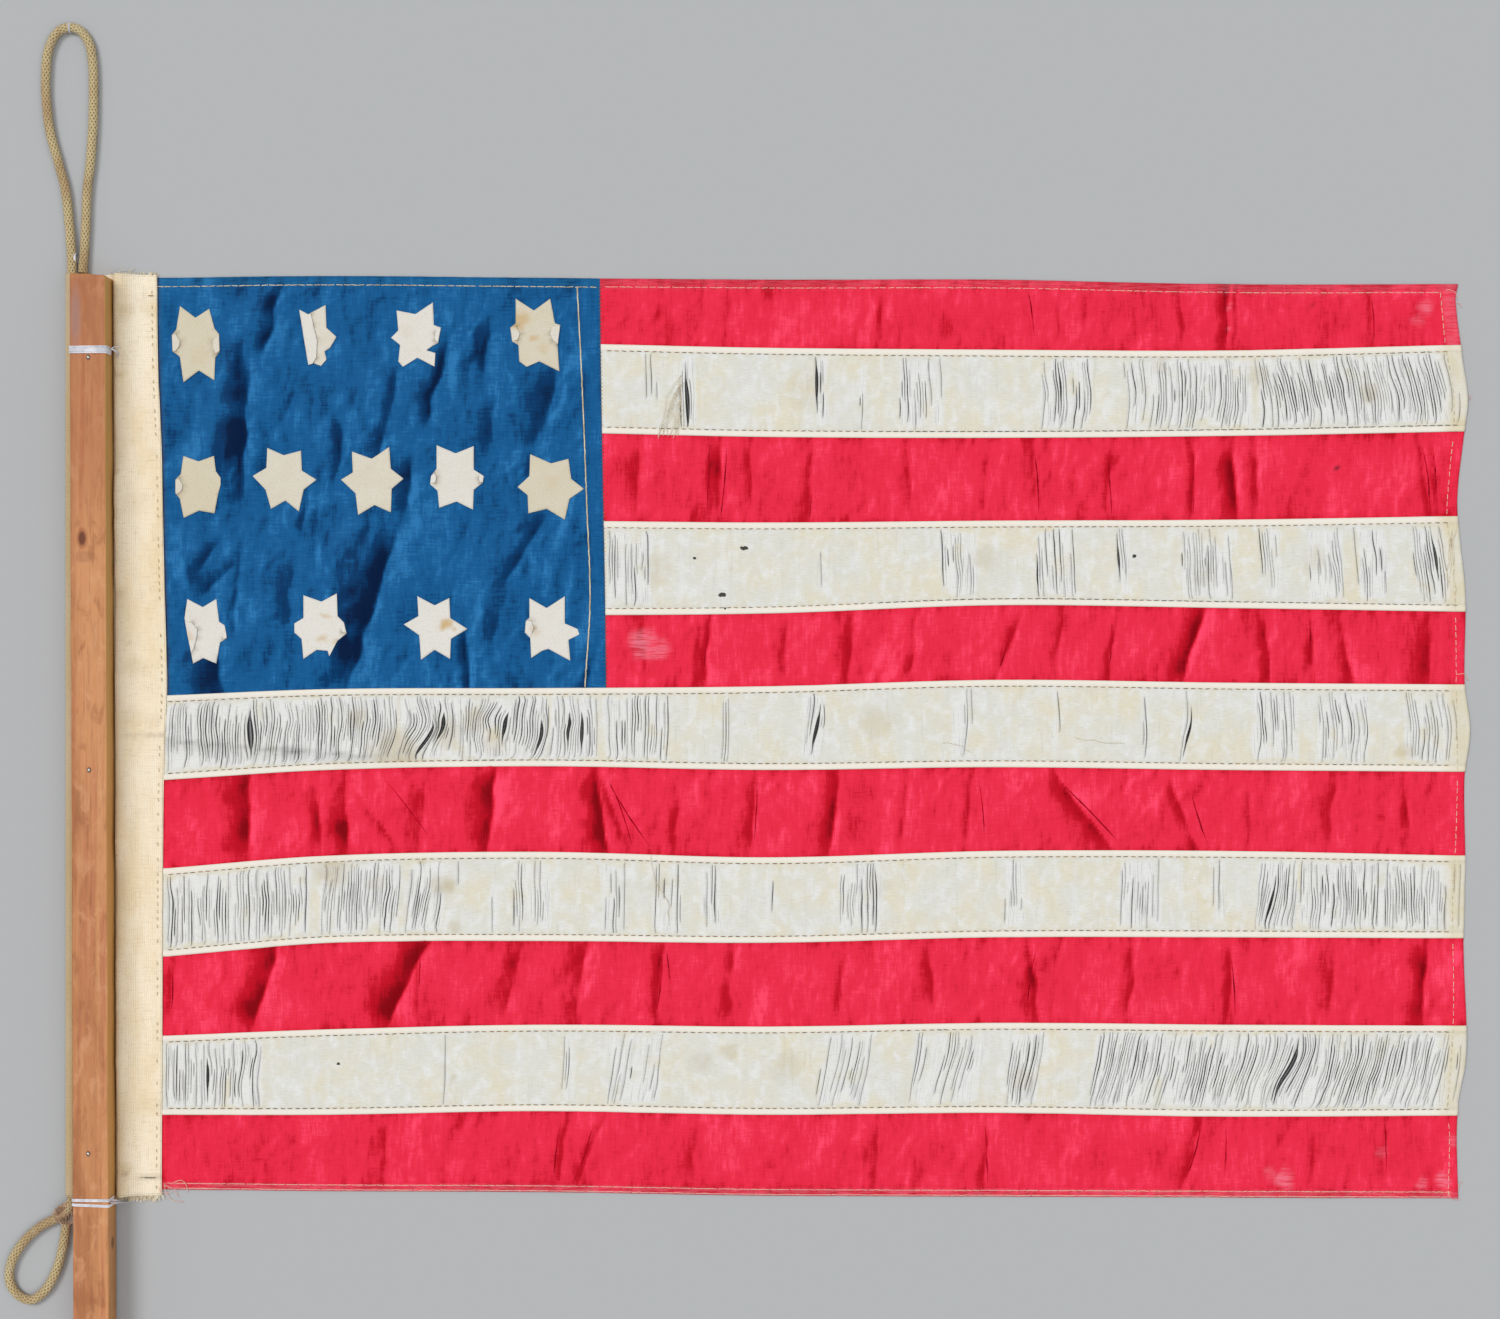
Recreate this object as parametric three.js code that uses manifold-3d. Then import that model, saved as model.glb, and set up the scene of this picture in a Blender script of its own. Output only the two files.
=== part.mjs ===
import * as THREE from "three";
import { mergeVertices } from "three/addons/utils/BufferGeometryUtils.js";
import Module from "manifold-3d";

// A tattered silk flag lying face up, with its canvas heading, hoist rope and nailed batten.
// Millimetres: +X runs from the hoist to the fly, +Y to the flag's top, +Z up from the surface.
// The origin is on the surface, under the middle of the flag and batten together.

const wasm = await Module();
wasm.setup();

// Driving dimensions

const gap = 0.3; // between neighbouring pieces
const silk = 1; // thickness of the canton, stripes and stars
const canvas = 1; // thickness of one layer of the heading
const sleeveLeft = -385.6; // hoist side of the rope sleeve
const headingTop = 305.7;
const headingBottom = -200.3;
const ropeDiameter = 5.2;
const battenSize = { width: 18.1, length: 610, depth: 19 };
const battenMiddle = { x: -367.45, y: -0.7 };
const battenLean = THREE.MathUtils.degToRad(0.2); // turned a little against the hoist

const ropeX = sleeveLeft + canvas + gap + ropeDiameter / 2; // rope's line inside the sleeve
const ropeZ = canvas + gap + ropeDiameter / 2;
const battenUnderside = 2 * (canvas + gap);

// Edges and seams

// A smooth line through a few set points, read at any place along it.
function smoothLine(places, values) {
  const last = places.length - 1;
  const slope = places.map((_, i) => {
    const before = Math.max(i - 1, 0);
    const after = Math.min(i + 1, last);
    return (values[after] - values[before]) / (places[after] - places[before]);
  });
  return (at) => {
    let i = 0;
    while (i < last - 1 && at > places[i + 1]) i += 1;
    const span = places[i + 1] - places[i];
    const t = THREE.MathUtils.clamp((at - places[i]) / span, 0, 1);
    const rise = values[i + 1] - values[i];
    const startBend = slope[i] * span - rise;
    const endBend = rise - slope[i + 1] * span;
    return values[i] + t * rise + t * (1 - t) * ((1 - t) * startBend + t * endBend);
  };
}

// The eleven stripes lie between twelve lines, given by their height at these places along the fly.
const seamPlaces = [-330, -240, -125, 0, 125, 250, 378];
const seams = [
  [304, 305, 304, 303, 303, 300.5, 300.5],
  [268, 268, 268, 265.5, 264.5, 264, 267],
  [219, 219, 219, 216.5, 216, 217, 219.5],
  [170.5, 170.5, 170.5, 169.5, 170.5, 171, 173],
  [118.5, 118.5, 118.5, 119.5, 124, 122.5, 120.5],
  [74.5, 78, 78.5, 79.5, 83, 81.5, 80.5],
  [28, 33.5, 35.5, 33.5, 35, 33.5, 32.5],
  [-20.5, -13.5, -11.5, -14.5, -11, -11, -13.5],
  [-69, -61.5, -60.5, -61.5, -58.5, -58.5, -59],
  [-112.5, -109, -106.5, -107.5, -105.5, -106.5, -107],
  [-156, -156, -154, -156, -155, -157, -156.5],
  [-197, -198, -198.5, -200.5, -201, -201.5, -202],
].map((heights) => smoothLine(seamPlaces, heights));
const stripesBesideCanton = 5;

const headingEdge = smoothLine(
  [-200, -104, 17, 52, 80, 121, 160, 209, 259, 306],
  [-333, -332.5, -332, -331, -330, -331, -332, -333, -335, -335.5],
);
const cantonEdge = smoothLine([78, 149, 196, 259, 304], [-89, -90, -91, -92, -94]);
const flyEdge = smoothLine(
  [-202, -159, -121, -66, -22, 28, 55, 83, 127, 160, 182, 220, 237, 259, 292, 301],
  [379.5, 379, 384, 382.5, 383.5, 383, 386, 383, 383.5, 380.5, 379, 383, 385, 382, 378, 379.5],
);

// Main folds: soft ridges in the silk. Lean is clockwise from the flag's upright, in degrees.
const folds = [
  { at: [-288, 232], lean: 12, long: 110, wide: 11, rise: 3 },
  { at: [-226, 116], lean: 16, long: 80, wide: 13, rise: 3.5 },
  { at: [-180, 262], lean: 8, long: 70, wide: 10, rise: 2 },
  { at: [-306, 92], lean: 20, long: 40, wide: 10, rise: 2 },
  { at: [-160, 100], lean: 4, long: 60, wide: 9, rise: 2 },
  { at: [250, 284], lean: 0, long: 40, wide: 9, rise: 2.5 },
  { at: [-27, 193], lean: 2, long: 46, wide: 9, rise: 2 },
  { at: [252, 193], lean: -6, long: 46, wide: 12, rise: 2.5 },
  { at: [-34, 99], lean: 4, long: 42, wide: 9, rise: 2 },
  { at: [232, 100], lean: 24, long: 44, wide: 10, rise: 2.5 },
  { at: [-293, 8], lean: 4, long: 46, wide: 12, rise: 3 },
  { at: [-156, 10], lean: 8, long: 46, wide: 11, rise: 2.5 },
  { at: [-92, 10], lean: -22, long: 50, wide: 11, rise: 2.5 },
  { at: [36, 10], lean: 6, long: 46, wide: 10, rise: 2.5 },
  { at: [174, 8], lean: -34, long: 52, wide: 11, rise: 2 },
  { at: [-282, -88], lean: 12, long: 44, wide: 11, rise: 3 },
  { at: [-197, -86], lean: 24, long: 50, wide: 13, rise: 3.5 },
  { at: [-59, -84], lean: 6, long: 44, wide: 9, rise: 2 },
  { at: [146, -82], lean: -8, long: 44, wide: 9, rise: 2 },
  { at: [358, -84], lean: 4, long: 44, wide: 11, rise: 2.5 },
  { at: [-100, -176], lean: 10, long: 46, wide: 12, rise: 1.5 },
];

// How far the cloth stands off the surface at a place.
function liftAt(x, y) {
  let lift = 0;
  for (const { at, lean, long, wide, rise } of folds) {
    const turn = THREE.MathUtils.degToRad(lean);
    const away = new THREE.Vector2(x - at[0], y - at[1]).rotateAround(new THREE.Vector2(), turn);
    lift += rise * Math.exp(-((away.x / wide) ** 2) - ((2 * away.y) / long) ** 4);
  }
  return lift;
}

// Solids

function closedGeometry(vertices, triangles) {
  const geometry = new THREE.BufferGeometry();
  geometry.setAttribute("position", new THREE.Float32BufferAttribute(vertices, 3));
  geometry.setIndex(triangles);
  return geometry;
}

// A panel of cloth between four edge lines, as a sheet that follows the folds.
function clothSheet({ left, right, lower, upper, columns, rows }, thickness, base = 0) {
  const vertices = [];
  for (const height of [base, base + thickness]) {
    for (let row = 0; row <= rows; row += 1) {
      for (let column = 0; column <= columns; column += 1) {
        const along = column / columns;
        const across = row / rows;
        let x = THREE.MathUtils.lerp(left(0), right(0), along);
        let y = 0;
        for (let pass = 0; pass < 3; pass += 1) {
          y = THREE.MathUtils.lerp(lower(x), upper(x), across);
          x = THREE.MathUtils.lerp(left(y), right(y), along);
        }
        vertices.push(x, y, liftAt(x, y) + height);
      }
    }
  }
  const layer = (rows + 1) * (columns + 1);
  const index = (row, column) => row * (columns + 1) + column;
  const triangles = [];
  for (let row = 0; row < rows; row += 1) {
    for (let column = 0; column < columns; column += 1) {
      const a = index(row, column);
      const b = index(row, column + 1);
      const c = index(row + 1, column + 1);
      const d = index(row + 1, column);
      triangles.push(a, c, b, a, d, c);
      triangles.push(a + layer, b + layer, c + layer, a + layer, c + layer, d + layer);
    }
  }
  const edge = [];
  for (let column = 0; column < columns; column += 1) edge.push(index(0, column));
  for (let row = 0; row < rows; row += 1) edge.push(index(row, columns));
  for (let column = columns; column > 0; column -= 1) edge.push(index(rows, column));
  for (let row = rows; row > 0; row -= 1) edge.push(index(row, 0));
  edge.forEach((a, i) => {
    const b = edge[(i + 1) % edge.length];
    triangles.push(a, b, b + layer, a, b + layer, a + layer);
  });
  return closedGeometry(vertices, triangles);
}

function toSolid(geometry) {
  const bare = new THREE.BufferGeometry();
  bare.setAttribute("position", geometry.getAttribute("position"));
  bare.setIndex(geometry.index);
  const merged = mergeVertices(bare, 1e-4);
  const vertProperties = new Float32Array(merged.attributes.position.array);
  const triVerts = new Uint32Array(merged.index.array);
  return new wasm.Manifold(new wasm.Mesh({ numProp: 3, vertProperties, triVerts }));
}

function toGeometry(solid) {
  const { vertProperties, triVerts } = solid.getMesh();
  return closedGeometry(Array.from(vertProperties), Array.from(triVerts));
}

// An upright prism over an outline, tall enough to cut right through the cloth.
function cutter(outline) {
  const shape = new THREE.Shape(outline.map(([x, y]) => new THREE.Vector2(x, y)));
  const prism = new THREE.ExtrudeGeometry(shape, { depth: 40, bevelEnabled: false });
  return toSolid(prism.translate(0, 0, -15));
}

// A split in the cloth: a lens-shaped hole along the flag's upright.
function split({ at, wide, long }) {
  const outline = [];
  for (let i = 0; i < 12; i += 1) {
    const angle = (i * Math.PI) / 6;
    const narrow = Math.abs(Math.cos(angle)) ** 1.5 * Math.sign(Math.cos(angle));
    outline.push([at[0] + (narrow * wide) / 2, at[1] + (Math.sin(angle) * long) / 2]);
  }
  return cutter(outline);
}

const looks = {
  blue: new THREE.MeshStandardMaterial({ color: 0x1a5a92, roughness: 0.5 }),
  red: new THREE.MeshStandardMaterial({ color: 0xe22d4c, roughness: 0.5 }),
  white: new THREE.MeshStandardMaterial({ color: 0xe0dece, roughness: 0.6 }),
  cream: new THREE.MeshStandardMaterial({ color: 0xe2d8c4, roughness: 0.8 }),
  canvas: new THREE.MeshStandardMaterial({ color: 0xe6d4b2, roughness: 0.9 }),
  cord: new THREE.MeshStandardMaterial({ color: 0xc8b487, roughness: 0.9 }),
  wood: new THREE.MeshStandardMaterial({ color: 0xbe7d55, roughness: 0.7 }),
  steel: new THREE.MeshStandardMaterial({ color: 0x9a9a98, roughness: 0.4, metalness: 1 }),
  thread: new THREE.MeshStandardMaterial({ color: 0xeeeeee, roughness: 0.8 }),
};

function piece(name, geometry, look) {
  const mesh = new THREE.Mesh(geometry, look);
  mesh.name = name;
  return mesh;
}

const flag = new THREE.Group();

// Canton

const inset = (line, distance) => (at) => line(at) + distance;
const cantonPanel = {
  left: inset(headingEdge, gap / 2),
  right: inset(cantonEdge, -gap / 2),
  lower: inset(seams[stripesBesideCanton], gap / 2),
  upper: seams[0],
  columns: 15,
  rows: 13,
};
flag.add(piece("canton", clothSheet(cantonPanel, silk), looks.blue));

// Stars: each is cut by hand, so each has its own outline about its own middle.
// Points run clockwise from the upper left tip; blunt ends are tips folded back on the star.
const stars = [
  {
    at: [-314, 268],
    outline: [
      [-9, 20.5], [-0.5, 14], [7, 19], [10, 8], [12.5, 5], [13, -4.5], [10.5, -8], [10, -20.5],
      [1.5, -15], [-7, -21.5], [-9, -7.5], [-13, -4.5], [-13.5, 4.5], [-11, 7.5],
    ],
  },
  {
    at: [-247, 272],
    outline: [
      [-10.5, 14.5], [-5.5, 12], [4, 17], [4.5, 4.5], [10, -0.5], [6.5, -6.5], [3.5, -8.5],
      [4.5, -13], [1.5, -16.5], [-2.5, -15], [-5.5, -16],
    ],
  },
  {
    at: [-193, 273],
    outline: [
      [-11, 13], [-0.5, 11], [9, 17.5], [9.5, 5], [13.5, 3.5], [12, -5], [9, -6.5], [5.5, -9],
      [10.5, -10.5], [10, -18], [0.5, -13], [-7.5, -18], [-10, -15], [-9, -6], [-14, -2], [-10, 2],
    ],
  },
  {
    at: [-128, 273],
    outline: [
      [-10.5, 19.5], [-0.5, 13], [8.5, 19.5], [11, 6], [14, 5], [12.5, -6], [13.5, -20.5],
      [2.5, -15], [-4.5, -18], [-8.5, -15], [-9, -6], [-12.5, -4], [-13.5, 3.5], [-10.5, 6],
    ],
  },
  {
    at: [-313, 189],
    outline: [
      [-8, 17], [0.5, 14], [9, 17], [10, 8.5], [12.5, 5], [12.5, 1], [11, -4], [9, -14.5],
      [0.5, -13], [-8, -17], [-10, -6.5], [-12.5, -3.5], [-12.5, 4], [-9.5, 7],
    ],
  },
  {
    at: [-265, 193],
    outline: [
      [-10, 17.5], [-1, 13.5], [8.5, 16], [9, 5], [17, 0], [10, -5.5], [7.5, -17.5], [0, -11.5],
      [-8, -16], [-11, -5.5], [-18, 2], [-10.5, 6.5],
    ],
  },
  {
    at: [-217, 192],
    outline: [
      [-11.5, 16.5], [-0.5, 12.5], [9, 19], [10, 7], [17, 1.5], [10.5, -4], [10, -17], [1, -13],
      [-8, -18.5], [-9.5, -6.5], [-17.5, 1], [-11, 5],
    ],
  },
  {
    at: [-171, 194],
    outline: [
      [-11, 18], [-0.5, 13.5], [9.5, 17.5], [9.5, 4.5], [15, 1], [14.5, -2.5], [9.5, -6.5],
      [9, -17.5], [0, -13], [-9.5, -16.5], [-10.5, -7], [-14.5, -3.5], [-14, 1], [-11, 5],
    ],
  },
  {
    at: [-119, 189],
    outline: [
      [-11.5, 18], [0, 13], [9.5, 15.5], [11, 4.5], [18, -1], [10, -6.5], [7.5, -18], [-2.5, -12],
      [-12.5, -14.5], [-13, -4.5], [-18.5, 0], [-12, 6],
    ],
  },
  {
    at: [-309, 110],
    outline: [
      [-10, 17.5], [-1.5, 13], [6, 17.5], [7.5, 5], [10.5, 3], [12, -4], [8, -6.5], [6, -18],
      [-1, -15], [-6.5, -18], [-10, -2], [-11.5, 7],
    ],
  },
  {
    at: [-245, 112],
    outline: [
      [-10, 17.5], [0, 14], [8.5, 18.5], [9, 6], [12.5, 2.5], [14, -3.5], [9, -7.5], [4.5, -16],
      [3.5, -13], [-2.5, -12.5], [-10, -17.5], [-11, -6.5], [-15, -3], [-15, 2], [-10, 5],
    ],
  },
  {
    at: [-182, 112],
    outline: [
      [-10.5, 17], [-1, 12], [7, 16], [7.5, 5], [17, -1], [8, -6.5], [7.5, -17.5], [-1, -12.5],
      [-8.5, -18], [-9.5, -4.5], [-18, 1.5], [-10, 6],
    ],
  },
  {
    at: [-118, 111],
    outline: [
      [-13, 17], [-3.5, 11.5], [6.5, 18], [6.5, 3], [13.5, 0], [14.5, -3], [8.5, -6], [9.5, -17.5],
      [-2.5, -11], [-6, -12], [-12, -16], [-12.5, -5], [-15.5, -2], [-15, 4.5], [-13, 6],
    ],
  },
];
const starSheet = toSolid(clothSheet(cantonPanel, silk, silk + gap));
stars.forEach(({ at, outline }, i) => {
  const placed = outline.map(([x, y]) => [at[0] + x, at[1] + y]).reverse();
  const star = starSheet.intersect(cutter(placed));
  flag.add(piece("star_" + (i + 1), toGeometry(star), looks.cream));
});

// Stripes: red and white by turns from the top, the first five stopping at the canton

const splits = {
  white_stripe_1: { at: [-43.5, 239], wide: 3, long: 33 },
  white_stripe_3: { at: [-286, 54], wide: 6.5, long: 24 },
};
for (let i = 0; i < seams.length - 1; i += 1) {
  const isShort = i < stripesBesideCanton;
  const panel = {
    left: inset(isShort ? cantonEdge : headingEdge, gap / 2),
    right: flyEdge,
    lower: inset(seams[i + 1], gap / 2),
    upper: inset(seams[i], -gap / 2),
    columns: isShort ? 25 : 38,
    rows: 3,
  };
  const isRed = i % 2 === 0;
  const name = (isRed ? "red_stripe_" : "white_stripe_") + (Math.floor(i / 2) + 1);
  let sheet = clothSheet(panel, silk);
  if (splits[name]) sheet = toGeometry(toSolid(sheet).subtract(split(splits[name])));
  flag.add(piece(name, sheet, isRed ? looks.red : looks.white));
}

// Heading: canvas folded round the rope, puckered up along the batten's fly side

function battenSide(y, side) {
  const middle = battenMiddle.x - (y - battenMiddle.y) * Math.tan(battenLean);
  return middle + (side * battenSize.width) / 2;
}

// The middle line of the canvas in section, from the lower layer's edge round to the upper one's.
function headingLine(y) {
  const lowerZ = canvas / 2;
  const upperZ = canvas * 1.5 + gap;
  const edge = headingEdge(y) - gap / 2;
  const radius = (ropeDiameter + canvas) / 2 + gap;
  const beside = battenSide(y, 1);
  const line = [[edge, lowerZ]];
  for (let degrees = -90; degrees >= -395; degrees -= 30.5) {
    const angle = THREE.MathUtils.degToRad(degrees);
    line.push([ropeX + radius * Math.cos(angle), ropeZ + radius * Math.sin(angle)]);
  }
  line.push([ropeX + 5, upperZ], [beside + 0.2, upperZ]);
  line.push([beside + 1.2, 2.8], [beside + 1.3, 6.2], [beside + 2.6, 7.6], [beside + 6, 6]);
  line.push([beside + 11, 3.2], [beside + 17, upperZ], [edge, upperZ]);
  return line.map(([x, z]) => new THREE.Vector2(x, z));
}

// A closed outline of even thickness on both sides of a line.
function ribbonOutline(line, thickness) {
  const sides = line.map((point, i) => {
    const into = line[Math.max(i, 1)].clone().sub(line[Math.max(i, 1) - 1]).normalize();
    const next = Math.min(i + 1, line.length - 1);
    const out = line[next].clone().sub(line[next - 1]).normalize();
    const normal = new THREE.Vector2(-into.y - out.y, into.x + out.x).normalize();
    const stretch = 1 / Math.max(normal.dot(new THREE.Vector2(-into.y, into.x)), 0.6);
    return normal.multiplyScalar((stretch * thickness) / 2);
  });
  const near = line.map((point, i) => point.clone().sub(sides[i]));
  const far = line.map((point, i) => point.clone().add(sides[i]));
  return [...near, ...far.reverse()];
}

function headingGeometry() {
  const stations = 18;
  const vertices = [];
  const triangles = [];
  let count = 0;
  let first = [];
  for (let station = 0; station <= stations; station += 1) {
    const y = THREE.MathUtils.lerp(headingBottom, headingTop, station / stations);
    const outline = ribbonOutline(headingLine(y), canvas);
    outline.forEach(({ x, y: z }) => vertices.push(x, y, z));
    count = outline.length;
    if (station === 0) first = outline;
  }
  for (let station = 0; station < stations; station += 1) {
    for (let i = 0; i < count; i += 1) {
      const a = station * count + i;
      const b = station * count + ((i + 1) % count);
      triangles.push(a, a + count, b + count, a, b + count, b);
    }
  }
  for (const [a, b, c] of THREE.ShapeUtils.triangulateShape(first, [])) {
    triangles.push(a, b, c);
    const last = stations * count;
    triangles.push(last + a, last + c, last + b);
  }
  return closedGeometry(vertices, triangles);
}
const heading = headingGeometry();
flag.add(piece("heading", heading, looks.canvas));

// Rope: long loop above, straight through the sleeve, small loop below

// Steps follow the route's own points, which are closer where the rope bends.
class RopeRoute extends THREE.CatmullRomCurve3 {
  getUtoTmapping(u) {
    return u;
  }
}

const floor = ropeDiameter / 2 + 0.1; // the loops lie on the surface
const ropeRoute = [
  [-376, 306.4, floor],
  [-374.5, 330, floor],
  [-373.6, 352, floor],
  [-371.8, 367.5, floor],
  [-370.7, 383, floor],
  [-370.2, 404, floor],
  [-370.5, 420, floor],
  [-372.4, 432, floor],
  [-377, 439, floor],
  [-383.3, 441.2, floor],
  [-389.6, 438.7, floor],
  [-394.4, 430.5, floor],
  [-396.4, 415, floor],
  [-395.9, 399, floor],
  [-393.8, 383, floor],
  [-389.6, 367.5, floor],
  [-385.6, 352, floor],
  [-383.2, 330, floor],
  [-382.3, 318, floor + 0.4],
  [ropeX, 307, ropeZ],
  [ropeX, 299, ropeZ],
  [ropeX, 135, ropeZ],
  [ropeX, -30, ropeZ],
  [ropeX, -192, ropeZ],
  [ropeX, -201, ropeZ],
  [-383.8, -207.5, floor + 0.6],
  [-389.2, -211.8, floor],
  [-399, -217, floor],
  [-408, -225, floor],
  [-414.5, -235, floor],
  [-416.4, -245.4, floor],
  [-412.6, -253.7, floor],
  [-404.7, -257.3, floor],
  [-397.4, -252.9, floor],
  [-391.2, -242.7, floor],
  [-387.3, -230, floor],
  [-385, -215.5, floor],
].map(([x, y, z]) => new THREE.Vector3(x, y, z));

function ropeGeometry() {
  const sides = 8;
  const section = new THREE.Shape();
  for (let i = 0; i < sides; i += 1) {
    const angle = (i * 2 * Math.PI) / sides;
    const point = [(ropeDiameter / 2) * Math.cos(angle), (ropeDiameter / 2) * Math.sin(angle)];
    if (i === 0) section.moveTo(...point);
    else section.lineTo(...point);
  }
  const extrudePath = new RopeRoute(ropeRoute);
  const steps = 2 * (ropeRoute.length - 1);
  return new THREE.ExtrudeGeometry(section, { steps, extrudePath, bevelEnabled: false });
}
flag.add(piece("rope", ropeGeometry(), looks.cord));

// Batten, with its nails and thread lashings set in its own turned group

const batten = new THREE.Group();
batten.position.set(battenMiddle.x, battenMiddle.y, battenUnderside + battenSize.depth / 2);
batten.rotation.z = battenLean;
flag.add(batten);

const faceZ = battenSize.depth / 2;
const nail = { headRadius: 1, headThickness: 0.5, shankRadius: 0.6, length: 15 };
const nailPlaces = [
  [-0.3, 258.8],
  [-0.6, 35],
  [-1.8, -173.1],
];

function nailGeometry() {
  const { headRadius, headThickness, shankRadius, length } = nail;
  const profile = [
    [0, -length],
    [shankRadius, -length + 1],
    [shankRadius, gap],
    [headRadius, gap],
    [headRadius, gap + headThickness],
    [0, gap + headThickness],
  ].map(([radius, height]) => new THREE.Vector2(radius, height));
  return new THREE.LatheGeometry(profile, 10).rotateX(Math.PI / 2);
}

const { width, length, depth } = battenSize;
let battenBar = toSolid(new THREE.BoxGeometry(width, length, depth));
const boreRadius = nail.shankRadius + gap;
const boreDepth = nail.length + gap;
nailPlaces.forEach(([x, y], i) => {
  const bore = new THREE.CylinderGeometry(boreRadius, boreRadius, 2 * boreDepth, 8);
  bore.rotateX(Math.PI / 2).translate(x, y, faceZ);
  battenBar = battenBar.subtract(toSolid(bore));
  const pin = piece("nail_" + (i + 1), nailGeometry(), looks.steel);
  pin.position.set(x, y, faceZ);
  batten.add(pin);
});
batten.add(piece("batten", toGeometry(battenBar), looks.wood));

// Turns of thread over the batten's face and down both sides, as one band
function lashingGeometry(wide) {
  const thread = 0.8;
  const inner = width / 2 + gap;
  const outer = inner + thread;
  const foot = -faceZ + 8.5;
  const band = new THREE.Shape();
  band.moveTo(-outer, foot);
  band.lineTo(-inner, foot);
  band.lineTo(-inner, faceZ + gap);
  band.lineTo(inner, faceZ + gap);
  band.lineTo(inner, foot);
  band.lineTo(outer, foot);
  band.lineTo(outer, faceZ + gap + thread);
  band.lineTo(-outer, faceZ + gap + thread);
  band.closePath();
  const geometry = new THREE.ExtrudeGeometry(band, { depth: wide, bevelEnabled: false });
  return geometry.translate(0, 0, -wide / 2).rotateX(Math.PI / 2);
}
const lashings = { lashing_top: { y: 263, wide: 4.4 }, lashing_bottom: { y: -199, wide: 5 } };
for (const [name, { y, wide }] of Object.entries(lashings)) {
  const lashing = piece(name, lashingGeometry(wide), looks.thread);
  lashing.position.y = y;
  batten.add(lashing);
}

export default flag;
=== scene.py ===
import math
import random

import bmesh
import bpy
import numpy as np
from mathutils import Matrix, Vector


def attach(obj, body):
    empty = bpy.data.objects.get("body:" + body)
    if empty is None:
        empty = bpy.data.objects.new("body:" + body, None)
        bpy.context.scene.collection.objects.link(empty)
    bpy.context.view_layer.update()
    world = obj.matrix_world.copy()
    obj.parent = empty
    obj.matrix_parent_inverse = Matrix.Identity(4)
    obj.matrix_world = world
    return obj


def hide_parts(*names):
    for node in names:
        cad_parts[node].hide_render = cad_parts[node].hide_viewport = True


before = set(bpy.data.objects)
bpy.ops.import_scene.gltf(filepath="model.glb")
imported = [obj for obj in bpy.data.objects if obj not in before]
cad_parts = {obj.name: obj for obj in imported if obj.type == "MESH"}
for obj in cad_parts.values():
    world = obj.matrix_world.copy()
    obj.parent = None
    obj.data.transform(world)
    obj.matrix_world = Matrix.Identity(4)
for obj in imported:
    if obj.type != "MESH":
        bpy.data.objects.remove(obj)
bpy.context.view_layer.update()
print("frame loaded:", len(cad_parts), "parts")

# Sizes and places are in millimetres, and meshes are scaled to metres as they are finished.
mm = 0.001


# Lines and fields

def smoothStretch(start, end, leave, reach, t):
    # from start to end as t goes from 0 to 1, with the slope leave at one and reach at the other
    rise = end - start
    return start + t * rise + t * (1 - t) * ((1 - t) * (leave - rise) + t * (rise - reach))


def smoothLine(places, values):
    # a smooth line through a few set points, read at any place along it
    places = np.array(places, float)
    values = np.array(values, float)
    index = np.arange(len(places))
    before = np.maximum(index - 1, 0)
    after = np.minimum(index + 1, len(places) - 1)
    slope = (values[after] - values[before]) / (places[after] - places[before])

    def line(at):
        at = np.asarray(at, float)
        i = np.clip(np.searchsorted(places, at) - 1, 0, len(places) - 2)
        span = places[i + 1] - places[i]
        t = np.clip((at - places[i]) / span, 0, 1)
        return smoothStretch(values[i], values[i + 1], slope[i] * span, slope[i + 1] * span, t)

    return line


def shifted(line, distance):
    return lambda at: line(at) + distance


def eased(value, low, high):
    t = np.clip((value - low) / (high - low), 0, 1)
    return t * t * (3 - 2 * t)


def hill(value, middle, width):
    return np.exp(-(((value - middle) / width) ** 2))


def wander(x, y, seed):
    # a smooth random field from about -1 to 1, with one hill or hollow to a unit
    table = np.random.default_rng(seed).uniform(-1, 1, (64, 64))
    column = np.floor(x).astype(int)
    row = np.floor(y).astype(int)
    s = eased(x - column, 0, 1)
    t = eased(y - row, 0, 1)
    c0, c1, r0, r1 = column % 64, (column + 1) % 64, row % 64, (row + 1) % 64
    near = table[c0, r0] * (1 - s) + table[c1, r0] * s
    far = table[c0, r1] * (1 - s) + table[c1, r1] * s
    return near * (1 - t) + far * t


def spots(x, y, places):
    # how strong the nearest of some soft, uneven spots is: (x, y, radius, strength)
    strength = np.zeros(np.shape(x))
    x, y = x + 1.8 * wander(x / 4, y / 4, 51), y + 1.8 * wander(x / 4, y / 4, 52)
    for spotX, spotY, radius, amount in places:
        away = np.hypot(x - spotX, y - spotY) / radius
        strength = np.maximum(strength, amount * (1 - eased(away, 0.35, 1)))
    return strength


# Camera: square over the flag

viewpoint = {"place": (-9.75, 94.2, 1535), "lens": 66.98, "sensor": 36}


def makeCamera():
    data = bpy.data.cameras.new("camera")
    data.lens = viewpoint["lens"]
    data.sensor_width = viewpoint["sensor"]
    camera = bpy.data.objects.new("camera", data)
    camera.location = Vector(viewpoint["place"]) * mm
    bpy.context.scene.collection.objects.link(camera)
    bpy.context.scene.camera = camera


makeCamera()


# Material helpers

def fromScreen(red, green, blue, alpha=1):
    # a colour as a screen shows it, 0 to 255, in Blender's linear values
    def linear(value):
        value /= 255
        return value / 12.92 if value < 0.04045 else ((value + 0.055) / 1.055) ** 2.4
    return (linear(red), linear(green), linear(blue), alpha)


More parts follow.
